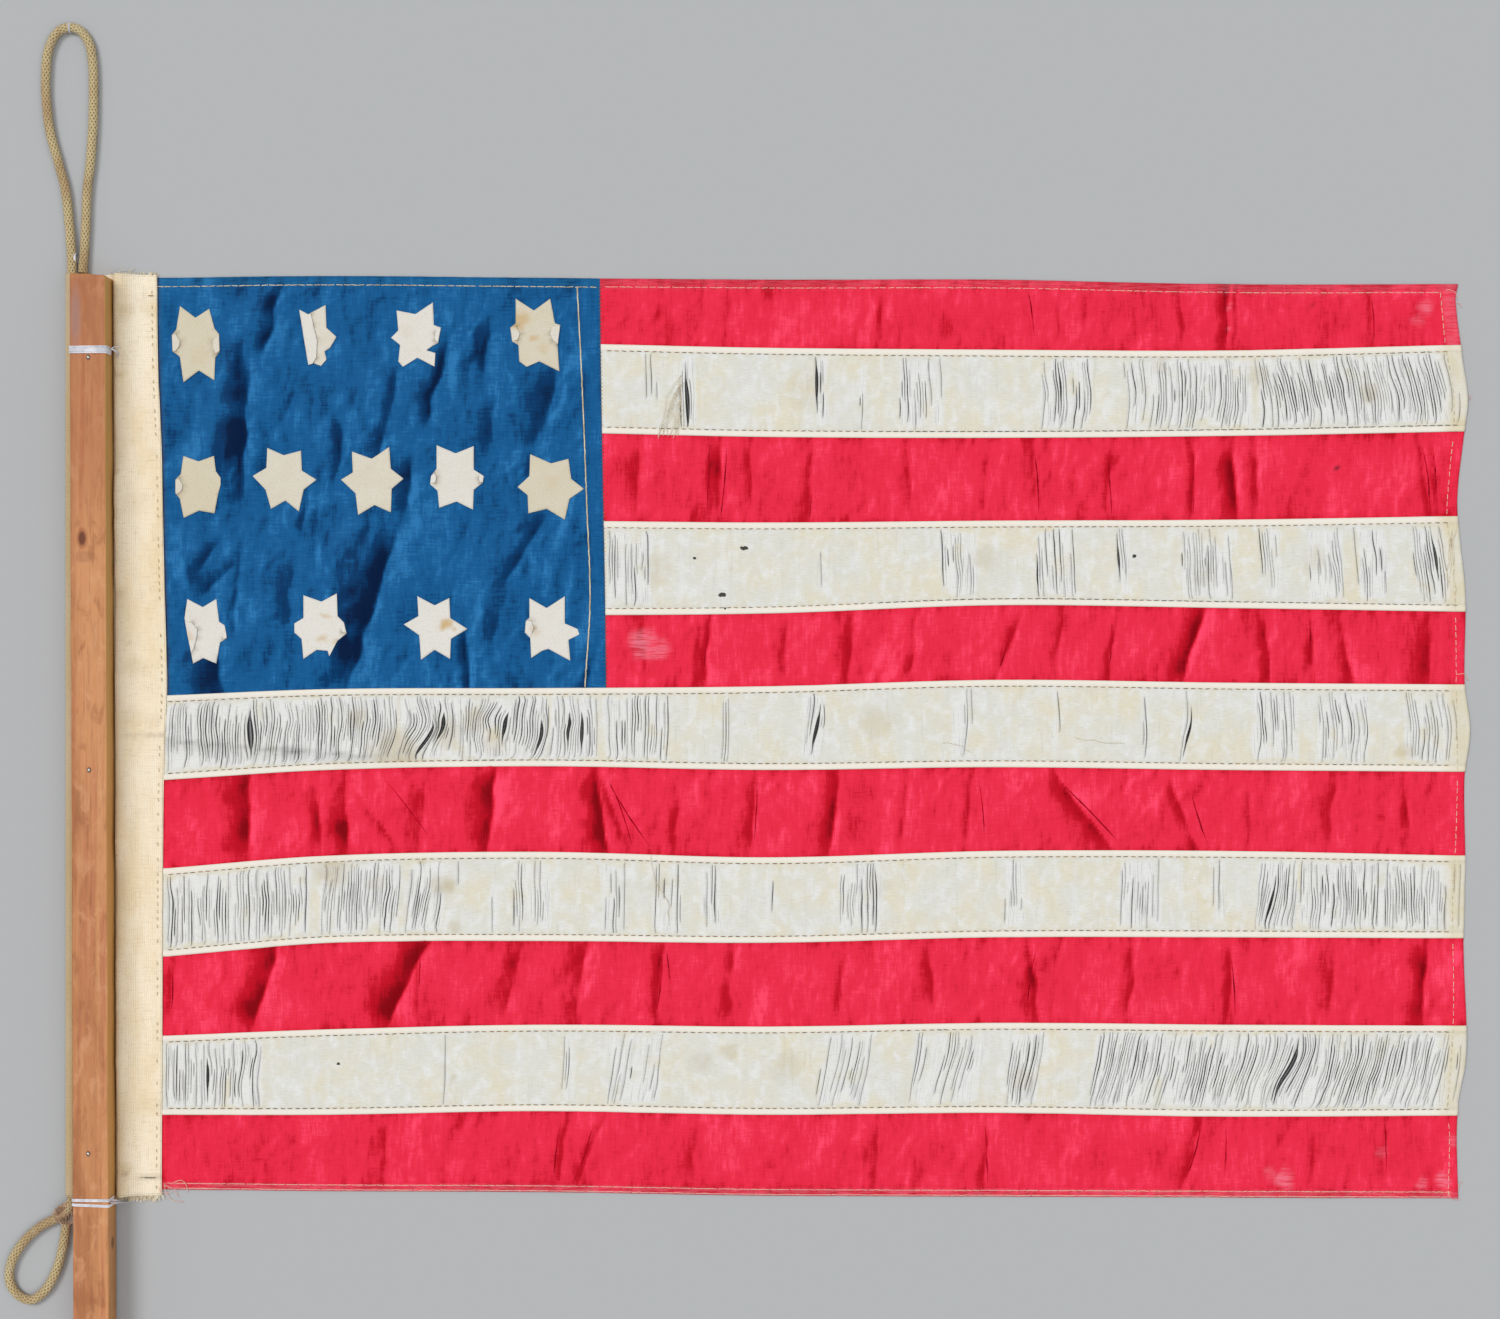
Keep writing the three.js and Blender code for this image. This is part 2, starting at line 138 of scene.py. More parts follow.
def newMaterial(name, roughness, specular=0.5, sheen=0.0, metal=0.0):
    material = bpy.data.materials.new(name)
    material.use_nodes = True
    tree = material.node_tree
    shader = tree.nodes["Principled BSDF"]
    shader.inputs["Roughness"].default_value = roughness
    shader.inputs["Specular IOR Level"].default_value = specular
    shader.inputs["Sheen Weight"].default_value = sheen
    shader.inputs["Metallic"].default_value = metal
    return material, tree, shader


def connect(tree, value, socket):
    if isinstance(value, bpy.types.NodeSocket):
        tree.links.new(value, socket)
    else:
        socket.default_value = value


def objectPlace(tree):
    # one texture coordinate node for each material
    found = tree.nodes.get("place") or tree.nodes.new("ShaderNodeTexCoord")
    found.name = "place"
    return found.outputs["Object"]


def stretched(tree, perMetre, source=None):
    mapping = tree.nodes.new("ShaderNodeMapping")
    mapping.inputs["Scale"].default_value = perMetre
    tree.links.new(source or objectPlace(tree), mapping.inputs["Vector"])
    return mapping.outputs["Vector"]


def noiseOf(tree, perMetre, detail=3.0, roughness=0.55, distortion=0.0, source=None):
    noise = tree.nodes.new("ShaderNodeTexNoise")
    noise.inputs["Scale"].default_value = 1
    noise.inputs["Detail"].default_value = detail
    noise.inputs["Roughness"].default_value = roughness
    noise.inputs["Distortion"].default_value = distortion
    tree.links.new(stretched(tree, perMetre, source), noise.inputs["Vector"])
    return noise.outputs["Fac"]


def uvOf(tree, name):
    reader = tree.nodes.new("ShaderNodeUVMap")
    reader.uv_map = name
    return reader.outputs["UV"]


def waveOf(tree, perMetre, direction, distortion):
    wave = tree.nodes.new("ShaderNodeTexWave")
    wave.bands_direction = direction
    wave.inputs["Scale"].default_value = 1
    wave.inputs["Distortion"].default_value = distortion
    wave.inputs["Detail"].default_value = 1
    tree.links.new(stretched(tree, perMetre), wave.inputs["Vector"])
    return wave.outputs["Fac"]


def gauge(tree, value, low, high, atLow=0.0, atHigh=1.0):
    # atLow where the value is low, atHigh where it is high, and smooth between
    scale = tree.nodes.new("ShaderNodeMapRange")
    scale.interpolation_type = "SMOOTHSTEP"
    scale.inputs["From Min"].default_value = low
    scale.inputs["From Max"].default_value = high
    scale.inputs["To Min"].default_value = atLow
    scale.inputs["To Max"].default_value = atHigh
    connect(tree, value, scale.inputs["Value"])
    return scale.outputs["Result"]


def combine(tree, operation, first, second=0):
    sums = tree.nodes.new("ShaderNodeMath")
    sums.operation = operation
    connect(tree, first, sums.inputs[0])
    connect(tree, second, sums.inputs[1])
    return sums.outputs[0]


def blend(tree, amount, first, second):
    mix = tree.nodes.new("ShaderNodeMix")
    mix.data_type = "RGBA"
    connect(tree, amount, mix.inputs[0])
    connect(tree, first, mix.inputs[6])
    connect(tree, second, mix.inputs[7])
    return mix.outputs[2]


def overlaid(tree, colour, layers):
    # each layer draws the colour towards its own as a texture goes from low to high
    for texture, low, high, strength, layerColour in layers:
        colour = blend(tree, gauge(tree, texture, low, high, 0, strength), colour, fromScreen(*layerColour))
    return colour


def attributeOf(tree, name):
    reader = tree.nodes.new("ShaderNodeAttribute")
    reader.attribute_name = name
    return reader.outputs["Fac"]


def spotOf(tree, centre, size):
    # 1 in the middle of an oval spot in the object's own space, 0 outside it
    away = tree.nodes.new("ShaderNodeVectorMath")
    away.operation = "SUBTRACT"
    tree.links.new(objectPlace(tree), away.inputs[0])
    away.inputs[1].default_value = Vector(centre) * mm
    share = tree.nodes.new("ShaderNodeVectorMath")
    share.operation = "DIVIDE"
    tree.links.new(away.outputs["Vector"], share.inputs[0])
    share.inputs[1].default_value = Vector(size) * mm
    length = tree.nodes.new("ShaderNodeVectorMath")
    length.operation = "LENGTH"
    tree.links.new(share.outputs["Vector"], length.inputs[0])
    return gauge(tree, length.outputs["Value"], 0.25, 1, 1, 0)


def bumpOf(tree, height, distance, under=None):
    bump = tree.nodes.new("ShaderNodeBump")
    bump.inputs["Distance"].default_value = distance * mm
    connect(tree, height, bump.inputs["Height"])
    if under is not None:
        tree.links.new(under, bump.inputs["Normal"])
    return bump.outputs["Normal"]


def plainWeave(tree, threadsPerMetre, distance, under=None):
    # threads both ways, as a bump
    scale = (threadsPerMetre / math.pi,) * 3  # a wave texture has 3.2 bands to a unit, so about one a thread
    across = waveOf(tree, scale, "X", 1.2)
    along = waveOf(tree, scale, "Y", 1.2)
    return bumpOf(tree, combine(tree, "ADD", across, along), distance, under)


# Mesh helpers

def addPiece(name, mesh, material, replaced=()):
    mesh.transform(Matrix.Scale(mm, 4))
    mesh.materials.append(material)
    mesh.polygons.foreach_set("use_smooth", [True] * len(mesh.polygons))
    piece = bpy.data.objects.new(name, mesh)
    bpy.context.scene.collection.objects.link(piece)
    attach(piece, "root")
    if replaced:
        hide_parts(*replaced)
    return piece


def addThickness(piece, thickness):
    solidify = piece.modifiers.new("thickness", "SOLIDIFY")
    solidify.thickness = thickness * mm
    solidify.offset = 0


def readPoints(mesh):
    points = np.zeros(len(mesh.vertices) * 3)
    mesh.vertices.foreach_get("co", points)
    return points.reshape(-1, 3)


def writePoints(mesh, *axes):
    mesh.vertices.foreach_set("co", np.stack(axes, axis=1).ravel())
    mesh.update()


def addAttribute(mesh, name, values):
    attribute = mesh.attributes.new(name, "FLOAT", "POINT")
    attribute.data.foreach_set("value", np.broadcast_to(values, len(mesh.vertices)).astype(np.float32))


def addUv(mesh, name, across, along):
    # a UV layer from two values for each point
    corners = np.zeros(len(mesh.loops), int)
    mesh.loops.foreach_get("vertex_index", corners)
    uv = np.stack([across[corners], along[corners]], axis=1)
    mesh.uv_layers.new(name=name).data.foreach_set("uv", uv.ravel())


def meshOf(bm, name):
    mesh = bpy.data.meshes.new(name)
    bm.to_mesh(mesh)
    bm.free()
    return mesh


def gridMesh(name, columns, rows):
    # a flat grid, with each point's column and row
    bm = bmesh.new()
    bmesh.ops.create_grid(bm, x_segments=columns, y_segments=rows, size=0.5)
    mesh = meshOf(bm, name)
    points = readPoints(mesh)
    column = np.round((points[:, 0] + 0.5) * columns).astype(int)
    row = np.round((points[:, 1] + 0.5) * rows).astype(int)
    return mesh, column, row


def threadMesh(name, lines, radius, sides=4):
    # one mesh of many fine threads, each along its own line of points
    curve = bpy.data.curves.new(name, "CURVE")
    curve.dimensions = "3D"
    curve.bevel_depth = radius
    curve.bevel_resolution = max(sides // 2 - 2, 0)
    curve.use_fill_caps = True
    for line in lines:
        spline = curve.splines.new("POLY")
        spline.points.add(len(line) - 1)
        for point, place in zip(spline.points, line):
            point.co = (*place, 1)
    holder = bpy.data.objects.new(name, curve)
    mesh = bpy.data.meshes.new_from_object(holder)
    bpy.data.objects.remove(holder)
    bpy.data.curves.remove(curve)
    mesh.materials.clear()
    return mesh


# Rope: one braided cord, with a long loop above, straight through the sleeve, and a small loop below

rope = {
    "diameter": 5.2,
    "sides": 20,
    "step": 0.75,  # between the rings of the tube
    "strands": 8,
    "lay": 26.0,  # length of one full turn of a strand
    "inSleeve": (-381.7, 3.9),  # x and z
    "onSurface": 2.7,
    "longLoop": [
        (-376, 306.4), (-374.5, 330), (-373.6, 352), (-371.8, 367.5), (-370.7, 383), (-370.2, 404),
        (-370.5, 420), (-372.4, 432), (-377, 439), (-383.3, 441.2), (-389.6, 438.7), (-394.4, 430.5),
        (-396.4, 415), (-395.9, 399), (-393.8, 383), (-389.6, 367.5), (-385.6, 352), (-383.2, 330),
    ],
    "smallLoop": [
        (-389.2, -211.8), (-399, -217), (-408, -225), (-414.5, -235), (-416.4, -245.4), (-412.6, -253.7),
        (-404.7, -257.3), (-397.4, -252.9), (-391.2, -242.7), (-387.3, -230), (-385, -215.5),
    ],
}


def ropeRoute():
    sleeveX, sleeveZ = rope["inSleeve"]
    floor = rope["onSurface"]
    route = [(x, y, floor) for x, y in rope["longLoop"]]
    route.append((-382.3, 318, floor + 0.4))
    route += [(sleeveX, y, sleeveZ) for y in (307, 299, 135, -30, -192, -201)]
    route.append((-383.8, -207.5, floor + 0.6))
    return route + [(x, y, floor) for x, y in rope["smallLoop"]]


def curveThrough(points, stepsEach=24):
    # a centripetal Catmull-Rom curve through the points
    points = np.array(points, float)
    whole = np.vstack([2 * points[0] - points[1], points, 2 * points[-1] - points[-2]])
    t = np.linspace(0, 1, stepsEach, endpoint=False)[:, None]
    stretch = []
    for p0, p1, p2, p3 in zip(whole, whole[1:], whole[2:], whole[3:]):
        d0, d1, d2 = (max(np.linalg.norm(b - a), 1e-6) ** 0.5 for a, b in ((p0, p1), (p1, p2), (p2, p3)))
        leave = ((p1 - p0) / d0 - (p2 - p0) / (d0 + d1) + (p2 - p1) / d1) * d1
        reach = ((p2 - p1) / d1 - (p3 - p1) / (d1 + d2) + (p3 - p2) / d2) * d1
        stretch.append(smoothStretch(p1, p2, leave, reach, t))
    return np.vstack([*stretch, points[-1:]])


def evenly(line, step):
    along = np.concatenate([[0], np.cumsum(np.linalg.norm(np.diff(line, axis=0), axis=1))])
    at = np.linspace(0, along[-1], max(2, round(along[-1] / step) + 1))
    return np.stack([np.interp(at, along, line[:, k]) for k in range(3)], axis=1)


def makeRopeMaterial():
    material, tree, shader = newMaterial("braided cotton cord", 0.88, 0.25, 0.3)
    uv = uvOf(tree, "braid")
    split = tree.nodes.new("ShaderNodeSeparateXYZ")
    tree.links.new(uv, split.inputs[0])
    around = combine(tree, "MULTIPLY", split.outputs[0], rope["strands"] * math.pi)
    along = combine(tree, "MULTIPLY", split.outputs[1], rope["strands"] * math.pi / (rope["lay"] * mm))
    ways = [combine(tree, "COSINE", combine(tree, sense, around, along)) for sense in ("ADD", "SUBTRACT")]
    height = combine(tree, "MAXIMUM", *(combine(tree, "ABSOLUTE", way) for way in ways))
    fibres = noiseOf(tree, (9, 900, 1), 2, source=uv)
    # painted highlight on the strands' crowns and painted shade in the hollows between them, then the cord's
    # own mottling and fibres
    strand = overlaid(tree, fromScreen(176, 152, 106), (
        (height, 0.55, 1, 1, (204, 186, 142)),
        (height, 0.62, 0.3, 0.75, (84, 64, 38)),
        (noiseOf(tree, (60, 25, 60), 4), 0.42, 0.66, 0.6, (158, 122, 84)),
        (noiseOf(tree, (140, 90, 140), 3), 0.55, 0.72, 0.45, (196, 184, 152)),
        (fibres, 0.4, 0.7, 0.22, (84, 64, 38)),
    ))
    tree.links.new(strand, shader.inputs["Base Color"])
    tree.links.new(bumpOf(tree, height, 0.55, bumpOf(tree, fibres, 0.12)), shader.inputs["Normal"])
    return material


def makeRope():
    centres = evenly(curveThrough(ropeRoute()), rope["step"])
    rings, sides = len(centres), rope["sides"]
    mesh, spoke, ring = gridMesh("hoistRope", sides, rings - 1)
    turn = spoke * 2 * math.pi / sides
    along = ring * rope["step"]
    uneven = 0.1 * wander(along / 5, turn * 1.5, 41) + 0.06 * wander(along / 1.6, turn * 3, 42)
    radius = rope["diameter"] / 2 + uneven
    forward = np.gradient(centres, axis=0)
    forward /= np.linalg.norm(forward, axis=1)[:, None]
    side = np.cross(forward, (0, 0, 1))
    side /= np.linalg.norm(side, axis=1)[:, None]
    up = np.cross(side, forward)
    outward = side[ring] * np.cos(turn)[:, None] + up[ring] * np.sin(turn)[:, None]
    place = centres[ring] + outward * radius[:, None]
    writePoints(mesh, *place.T)
    addUv(mesh, "braid", turn / (2 * math.pi), along * mm)
    bm = bmesh.new()
    bm.from_mesh(mesh)
    bmesh.ops.remove_doubles(bm, verts=bm.verts, dist=1e-4)
    ends = [edge for edge in bm.edges if edge.is_boundary]
    bmesh.ops.holes_fill(bm, edges=ends, sides=sides)
    bmesh.ops.recalc_face_normals(bm, faces=bm.faces)
    bm.to_mesh(mesh)
    bm.free()
    piece = addPiece("hoistRope", mesh, makeRopeMaterial(), ["rope"])


makeRope()


# The flag's layout: edges and seams

heading = {
    "top": 305.7, "bottom": -200.3, "rows": 200, "thickness": 0.6,
    "lower": 0.45, "upper": 1.75,  # height of each layer's middle
    "topLine": 294, "footLine": -190.6, "wrinkle": 56,  # marks across it
}
stripesBesideCanton = 5
seamPlaces = (-330, -240, -125, 0, 125, 250, 378)
seams = [smoothLine(seamPlaces, heights) for heights in (
    (304, 305, 304, 303, 303, 300.5, 300.5),
    (268, 268, 268, 265.5, 264.5, 264, 267),
    (219, 219, 219, 216.5, 216, 217, 219.5),
    (170.5, 170.5, 170.5, 169.5, 170.5, 171, 173),
    (118.5, 118.5, 118.5, 119.5, 124, 122.5, 120.5),
    (74.5, 78, 78.5, 79.5, 83, 81.5, 80.5),
    (28, 33.5, 35.5, 33.5, 35, 33.5, 32.5),
    (-20.5, -13.5, -11.5, -14.5, -11, -11, -13.5),
    (-69, -61.5, -60.5, -61.5, -58.5, -58.5, -59),
    (-112.5, -109, -106.5, -107.5, -105.5, -106.5, -107),
    (-156, -156, -154, -156, -155, -157, -156.5),
    (-197, -198, -198.5, -200.5, -201, -201.5, -202),
)]
headingEdge = smoothLine(
    (-200, -104, 17, 52, 80, 121, 160, 209, 259, 306),
    (-333, -332.5, -332, -331, -330, -331, -332, -333, -335, -335.5),
)
cantonEdge = smoothLine((78, 149, 196, 259, 304), (-89, -90, -91, -92, -92.6))
cantonStitch = smoothLine((78, 127, 180, 240, 304), (-100.5, -97.7, -99.5, -101.8, -105))
flyEdge = smoothLine(
    (-202, -159, -121, -66, -22, 28, 55, 83, 127, 160, 182, 220, 237, 259, 292, 301),
    (379.5, 379, 384, 382.5, 383.5, 383, 386, 383, 383.5, 380.5, 379, 383, 385, 382, 378, 379.5),
)
flyStitch = smoothLine(
    (-201, -166, -155, -130, -98, -38, -8, 28, 77,
     119, 146, 172, 199, 222, 243, 266, 292, 299),
    (374, 374.7, 373.6, 375.3, 376.9, 376.4, 378, 379, 378.5,
     378, 377, 373.3, 375, 377, 376.6, 372.5, 370, 369),
)

# Folds: a valley line at (x, y), its lean clockwise from upright in degrees, its length,
# the width of the slope on its hoist side and the rise of that slope.
folds = [
    # canton
    (-272.4, 279.3, 16, 38, 6, 1.5), (-287, 222, 3, 74, 9, 2.0), (-289, 259, 5, 22, 5, 0.9),
    (-254, 176, 5, 24, 4, 0.8), (-217.5, 121.4, 17, 92, 13, 2.8), (-197, 188, 8, 30, 5, 1.3),
    (-180.7, 248.7, 16, 54, 5, 1.3), (-154.4, 262, 3, 40, 5, 0.6), (-119, 238, 10, 44, 12, 0.6),
    (-134, 152.8, 33, 42, 6, 0.9), (-165, 94, 0, 36, 4, 1.5), (-97, 92, 16, 34, 4, 0.9),
    (-301, 87, -14, 32, 10, 1.9), (-213, 211, 10, 26, 4, 1.0), (-231, 98, 6, 30, 5, 0.7),
    (-307, 152, 35, 22, 4, 0.7), (-302, 138, 42, 24, 5, 0.7),
    (-292, 133, 3, 52, 3, 0.5), (-313.5, 291, 0, 13, 1.6, 0.5), (-248, 166, 4, 36, 2.5, 0.5),
    (-236, 206, 6, 34, 4, 0.6), (-152, 222, 8, 30, 6, 0.6), (-206, 240, 10, 34, 5, 0.5),
    (-262, 128, 6, 40, 6, 0.5), (-128, 208, 14, 26, 4, 0.6), (-147, 118, 18, 34, 5, 0.5),
    # first red stripe
    (252, 285, 0, 37, 4, 1.5), (257, 285, -1, 34, 2, 0.7), (144, 284, -6, 26, 2, 0.6),
    (160, 283, 3, 24, 2, 0.5), (175, 285, 2, 28, 2.5, 0.5), (227, 284, -4, 26, 2, 0.6),
    (331, 284, -3, 30, 2, 0.5), (-22, 284, 2, 28, 3, 0.5), (62, 284, -4, 26, 2.5, 0.5),
    # second red stripe
    (-27, 193, 2, 46, 4, 1.1), (-31.5, 192, 0, 40, 2, 0.6), (23, 193, 2, 44, 4, 0.9),
    (147, 198, 3, 36, 4, 0.9), (187, 190, 3, 38, 2.5, 0.8), (233, 193, 2, 46, 2.5, 1.0),
    (256.5, 193, -2, 47, 6, 1.9), (268, 195, -3, 40, 4, 1.0), (361, 193, -7, 46, 2, 0.8),
    (366.5, 194, -4, 40, 1.8, 0.6), (-72, 194, 3, 36, 5, 0.6), (78, 195, -3, 34, 4, 0.6),
    (120, 192, 4, 36, 3, 0.6), (-10, 196, -5, 30, 3, 0.5),
    # third red stripe
    (-33, 99, 3, 40, 4, 1.3), (-38, 99, 1, 34, 2, 0.5), (45, 99, 4, 40, 4, 0.9),
    (131, 98, 20, 44, 4, 1.1), (189, 97, 5, 38, 2.5, 0.8), (233.5, 101.5, 18, 46, 6, 2.0),
    (275, 98, -2, 38, 4, 1.1), (299, 103, -2, 30, 3, 0.9), (318.6, 98, -12, 40, 5, 1.0),
    (363, 98, 0, 40, 6, 1.2), (10, 99, 3, 36, 3, 0.6), (80, 99, 6, 36, 3, 0.6),
    (160, 100, 8, 34, 3, 0.6), (-68, 100, 2, 30, 3, 0.4),
    # fourth red stripe
    (-285, 10, 2, 47, 9, 2.1), (-231, 10, -3, 44, 7, 1.8), (-246, 6, -6, 36, 4, 1.2),
    (-214, 6, -38, 40, 2, 0.4), (-152, 10.5, 8, 47, 7, 2.1), (-91, 10, -8, 44, 6, 1.9),
    (-84, 11, -22, 42, 3, 0.9), (-7, 10, 3, 42, 4, 0.9), (37, 10, 6, 44, 5, 1.6),
    (174, 10, -36, 56, 6, 1.3), (229, 8, -20, 44, 4, 0.9), (-190, 8, 4, 36, 6, 0.6),
    (-50, 10, 4, 38, 4, 0.6), (75, 10, 5, 38, 3, 0.7), (110, 11, 6, 38, 3, 0.6),
    (265, 10, 3, 38, 3, 0.5), (310, 10, 6, 36, 4, 0.6), (352, 9, -4, 38, 4, 0.7),
    # fifth red stripe
    (-276, -84, 17, 48, 8, 1.9), (-197.5, -84, 26, 52, 10, 2.7), (-191, -85, 0, 32, 1.5, 0.5),
    (-102, -82, 10, 44, 5, 1.0), (-59, -84, 6, 44, 4, 1.4), (146, -82, -8, 44, 4, 1.3),
    (254, -84, 4, 44, 3, 1.1), (361, -84, 4, 44, 7, 1.6), (-327, -88, 2, 34, 3, 0.8),
    (-20, -83, 5, 38, 4, 0.6), (40, -84, 6, 38, 4, 0.6), (90, -83, -5, 36, 4, 0.5),
    (200, -83, 5, 38, 4, 0.6), (310, -83, 4, 38, 5, 0.6), (-140, -84, 14, 36, 5, 0.6),
    # sixth red stripe
    (-112, -177, 9, 36, 3, 0.7), (-97, -176, 20, 38, 3, 0.8), (119.5, -178, 2, 34, 3, 0.6),
    (234, -177, 16, 38, 3, 0.8), (339.5, -178, 2, 32, 3, 0.5), (-210, -180, 4, 30, 5, 0.4),
    (-40, -178, 4, 32, 4, 0.4), (60, -178, 3, 32, 4, 0.4), (300, -180, 5, 30, 4, 0.4),
]


def foldFields(x, y):
    # height of the folds, and their shade: below 0 on a slope turned from the light, above 0 towards it
    height = np.zeros(np.shape(x))
    shade = np.zeros(np.shape(x))
    bent = x + 1.5 * wander(x / 17, y / 12, 13)
    broken = 0.85 + 0.5 * wander(x / 13, y / 10, 15)
    for atX, atY, lean, long, wide, rise in folds:
        turn = math.radians(lean)
        across = (bent - atX) * math.cos(turn) - (y - atY) * math.sin(turn)
        along = (bent - atX) * math.sin(turn) + (y - atY) * math.cos(turn)
        hoistSide = np.maximum(-across / wide, 0)
        flySide = np.maximum(across / (0.6 * wide), 0)
        section = hoistSide * np.exp(1 - hoistSide) + 0.4 * flySide * np.exp(1 - flySide)
        window = np.exp(-((2 * along / long) ** 4))
        height += rise * section * window
        dark = -np.exp(-((across / (1.3 * wide)) ** 2))
        light = 0.22 * np.exp(-((across / (0.9 * wide)) ** 2))
        past = eased(across, -0.9, 1.3)
        shade += (0.2 + 0.37 * min(rise, 2)) * (dark * (1 - past) + light * past) * window * broken
    return height, shade


def crumple(x, y):
    # the silk's soft crinkles, most of them leaning a little off upright
    leanX = x - 0.12 * y + 4 * wander(x / 17, y / 13, 8)
    leanY = y + 4 * wander(x / 15, y / 15, 9)
    broad = wander(leanX / 14, leanY / 24, 3)
    middle = 0.5 * wander(leanX / 6.5, leanY / 12, 4) + 0.35 * wander((x + 0.6 * y) / 9, y / 14, 6)
    fine = 0.2 * wander(leanX / 3.1, leanY / 5, 7)
    return broad + middle + fine


silk = {
    "crinkle": 0.24, "sway": 0.2, "base": 0.42,  # small crinkles, broad waves, and what they stand on
    "byHeading": 0.6,  # rise to the heading
    "underHeading": 0.62,  # the most that it may stand there, under the canvas
    "crinkleShade": 0.6, "swayShade": 0.12,
}


def clothLift(x, y):
    # how far the silk stands off the surface: folds, then crinkles
    crinkle = silk["crinkle"] * crumple(x, y)
    sway = silk["sway"] * wander(x / 28, y / 30, 5)
    fromHeading = x - headingEdge(y)
    rise = silk["byHeading"] * (1 - eased(fromHeading, -1, 7))
    lift = foldFields(x, y)[0] + np.maximum(crinkle + sway + silk["base"], 0) + rise
    return np.minimum(lift, silk["underHeading"] + 8 * eased(fromHeading, 0.5, 14))


def clothTurn(x, y, gain=silk["crinkleShade"], folded=1.0):
    # how the silk is turned to the light, from -1 (away) to 1 (towards)
    slope = (crumple(x + 0.8, y - 0.4) - crumple(x - 0.8, y + 0.4)) / 1.6
    uneven = 0.5 + 0.9 * np.abs(wander(x / 34, y / 25, 17))
    sway = silk["swayShade"] * wander(x / 24, y / 20, 18)
    return folded * foldFields(x, y)[1] + gain * slope * uneven + sway


# Cloth panels

def slitMesh(name, columns, rows, slits):
    # a grid slit along its columns; gives for each point its column and row, the side of the slit
    # that it is on, and how far it is drawn aside there
    bm = bmesh.new()
    bmesh.ops.create_grid(bm, x_segments=columns, y_segments=rows, size=0.5)

    def columnOf(point):
        return round((point.co.x + 0.5) * columns)

    def rowOf(point):
        return round((point.co.y + 0.5) * rows)

    cut = []
    for edge in bm.edges:
        first, second = edge.verts
        if columnOf(first) == columnOf(second):
            row = min(rowOf(first), rowOf(second))
            if any(low <= row < high for low, high, _ in slits.get(columnOf(first), ())):
                cut.append(edge)
    bmesh.ops.split_edges(bm, edges=cut)
    column = np.array([columnOf(point) for point in bm.verts])
    row = np.array([rowOf(point) for point in bm.verts])
    side = np.zeros(len(column))
    gape = np.zeros(len(column))
    for i, point in enumerate(bm.verts):
        for low, high, wide in slits.get(int(column[i]), ()):
            if low < row[i] < high:
                middle = sum(face.calc_center_median().x for face in point.link_faces) / len(point.link_faces)
                side[i] = math.copysign(1, middle - point.co.x)
                gape[i] = side[i] * wide / 2 * math.sin(math.pi * (row[i] - low) / (high - low)) ** 0.7
    return meshOf(bm, name), column, row, side, gape


def layPanel(u, v, left, right, lower, upper):
    x = left(0) * (1 - u) + right(0) * u
    for _ in range(3):
        y = lower(x) * (1 - v) + upper(x) * v
        x = left(y) * (1 - u) + right(y) * u
    return x, y


def hemmedRows(height, spacing, hems=True):
    # shares up a stripe, close together near its hems
    near = [0, 0.9, 1.9, 2.9, 3.5, 4.1, 5.2] if hems else [0, 1.5, 3]
    inner = np.linspace(near[-1], height - near[-1], max(2, round((height - 2 * near[-1]) / spacing)))
    rows = [*near[:-1], *inner, *(height - place for place in reversed(near[:-1]))]
    return [place / height for place in rows]


# Silk materials

silkWeave = {"threads": 3200, "relief": 0.008}
# deep, dark and light are painted shade and highlight for the folds and crinkles; main, faded and slub are
# the silk's own
redDyeAndShade = {
    "deep": (134, 0, 14), "dark": (190, 10, 34), "main": (230, 42, 70), "light": (252, 70, 104),
    "faded": (238, 130, 150), "slub": 0.22,
}
blueDyeAndShade = {
    "deep": (0, 26, 62), "dark": (2, 54, 100), "main": (18, 88, 142), "light": (42, 116, 174),
    "faded": (36, 104, 140), "slub": 0.5,
}
# small burnt or dirty specks on the white silk: x, y, half width, half height
darkSpecks = [
    (-13, 155.4, 3.6, 1.7), (-40.3, 149.9, 1.4, 1.2), (-25, 129.7, 3.2, 2.0), (-23.4, 122.3, 1.0, 1.0),
    (201.5, 151, 1.8, 1.4), (-236, -128, 1.6, 1.2),
]


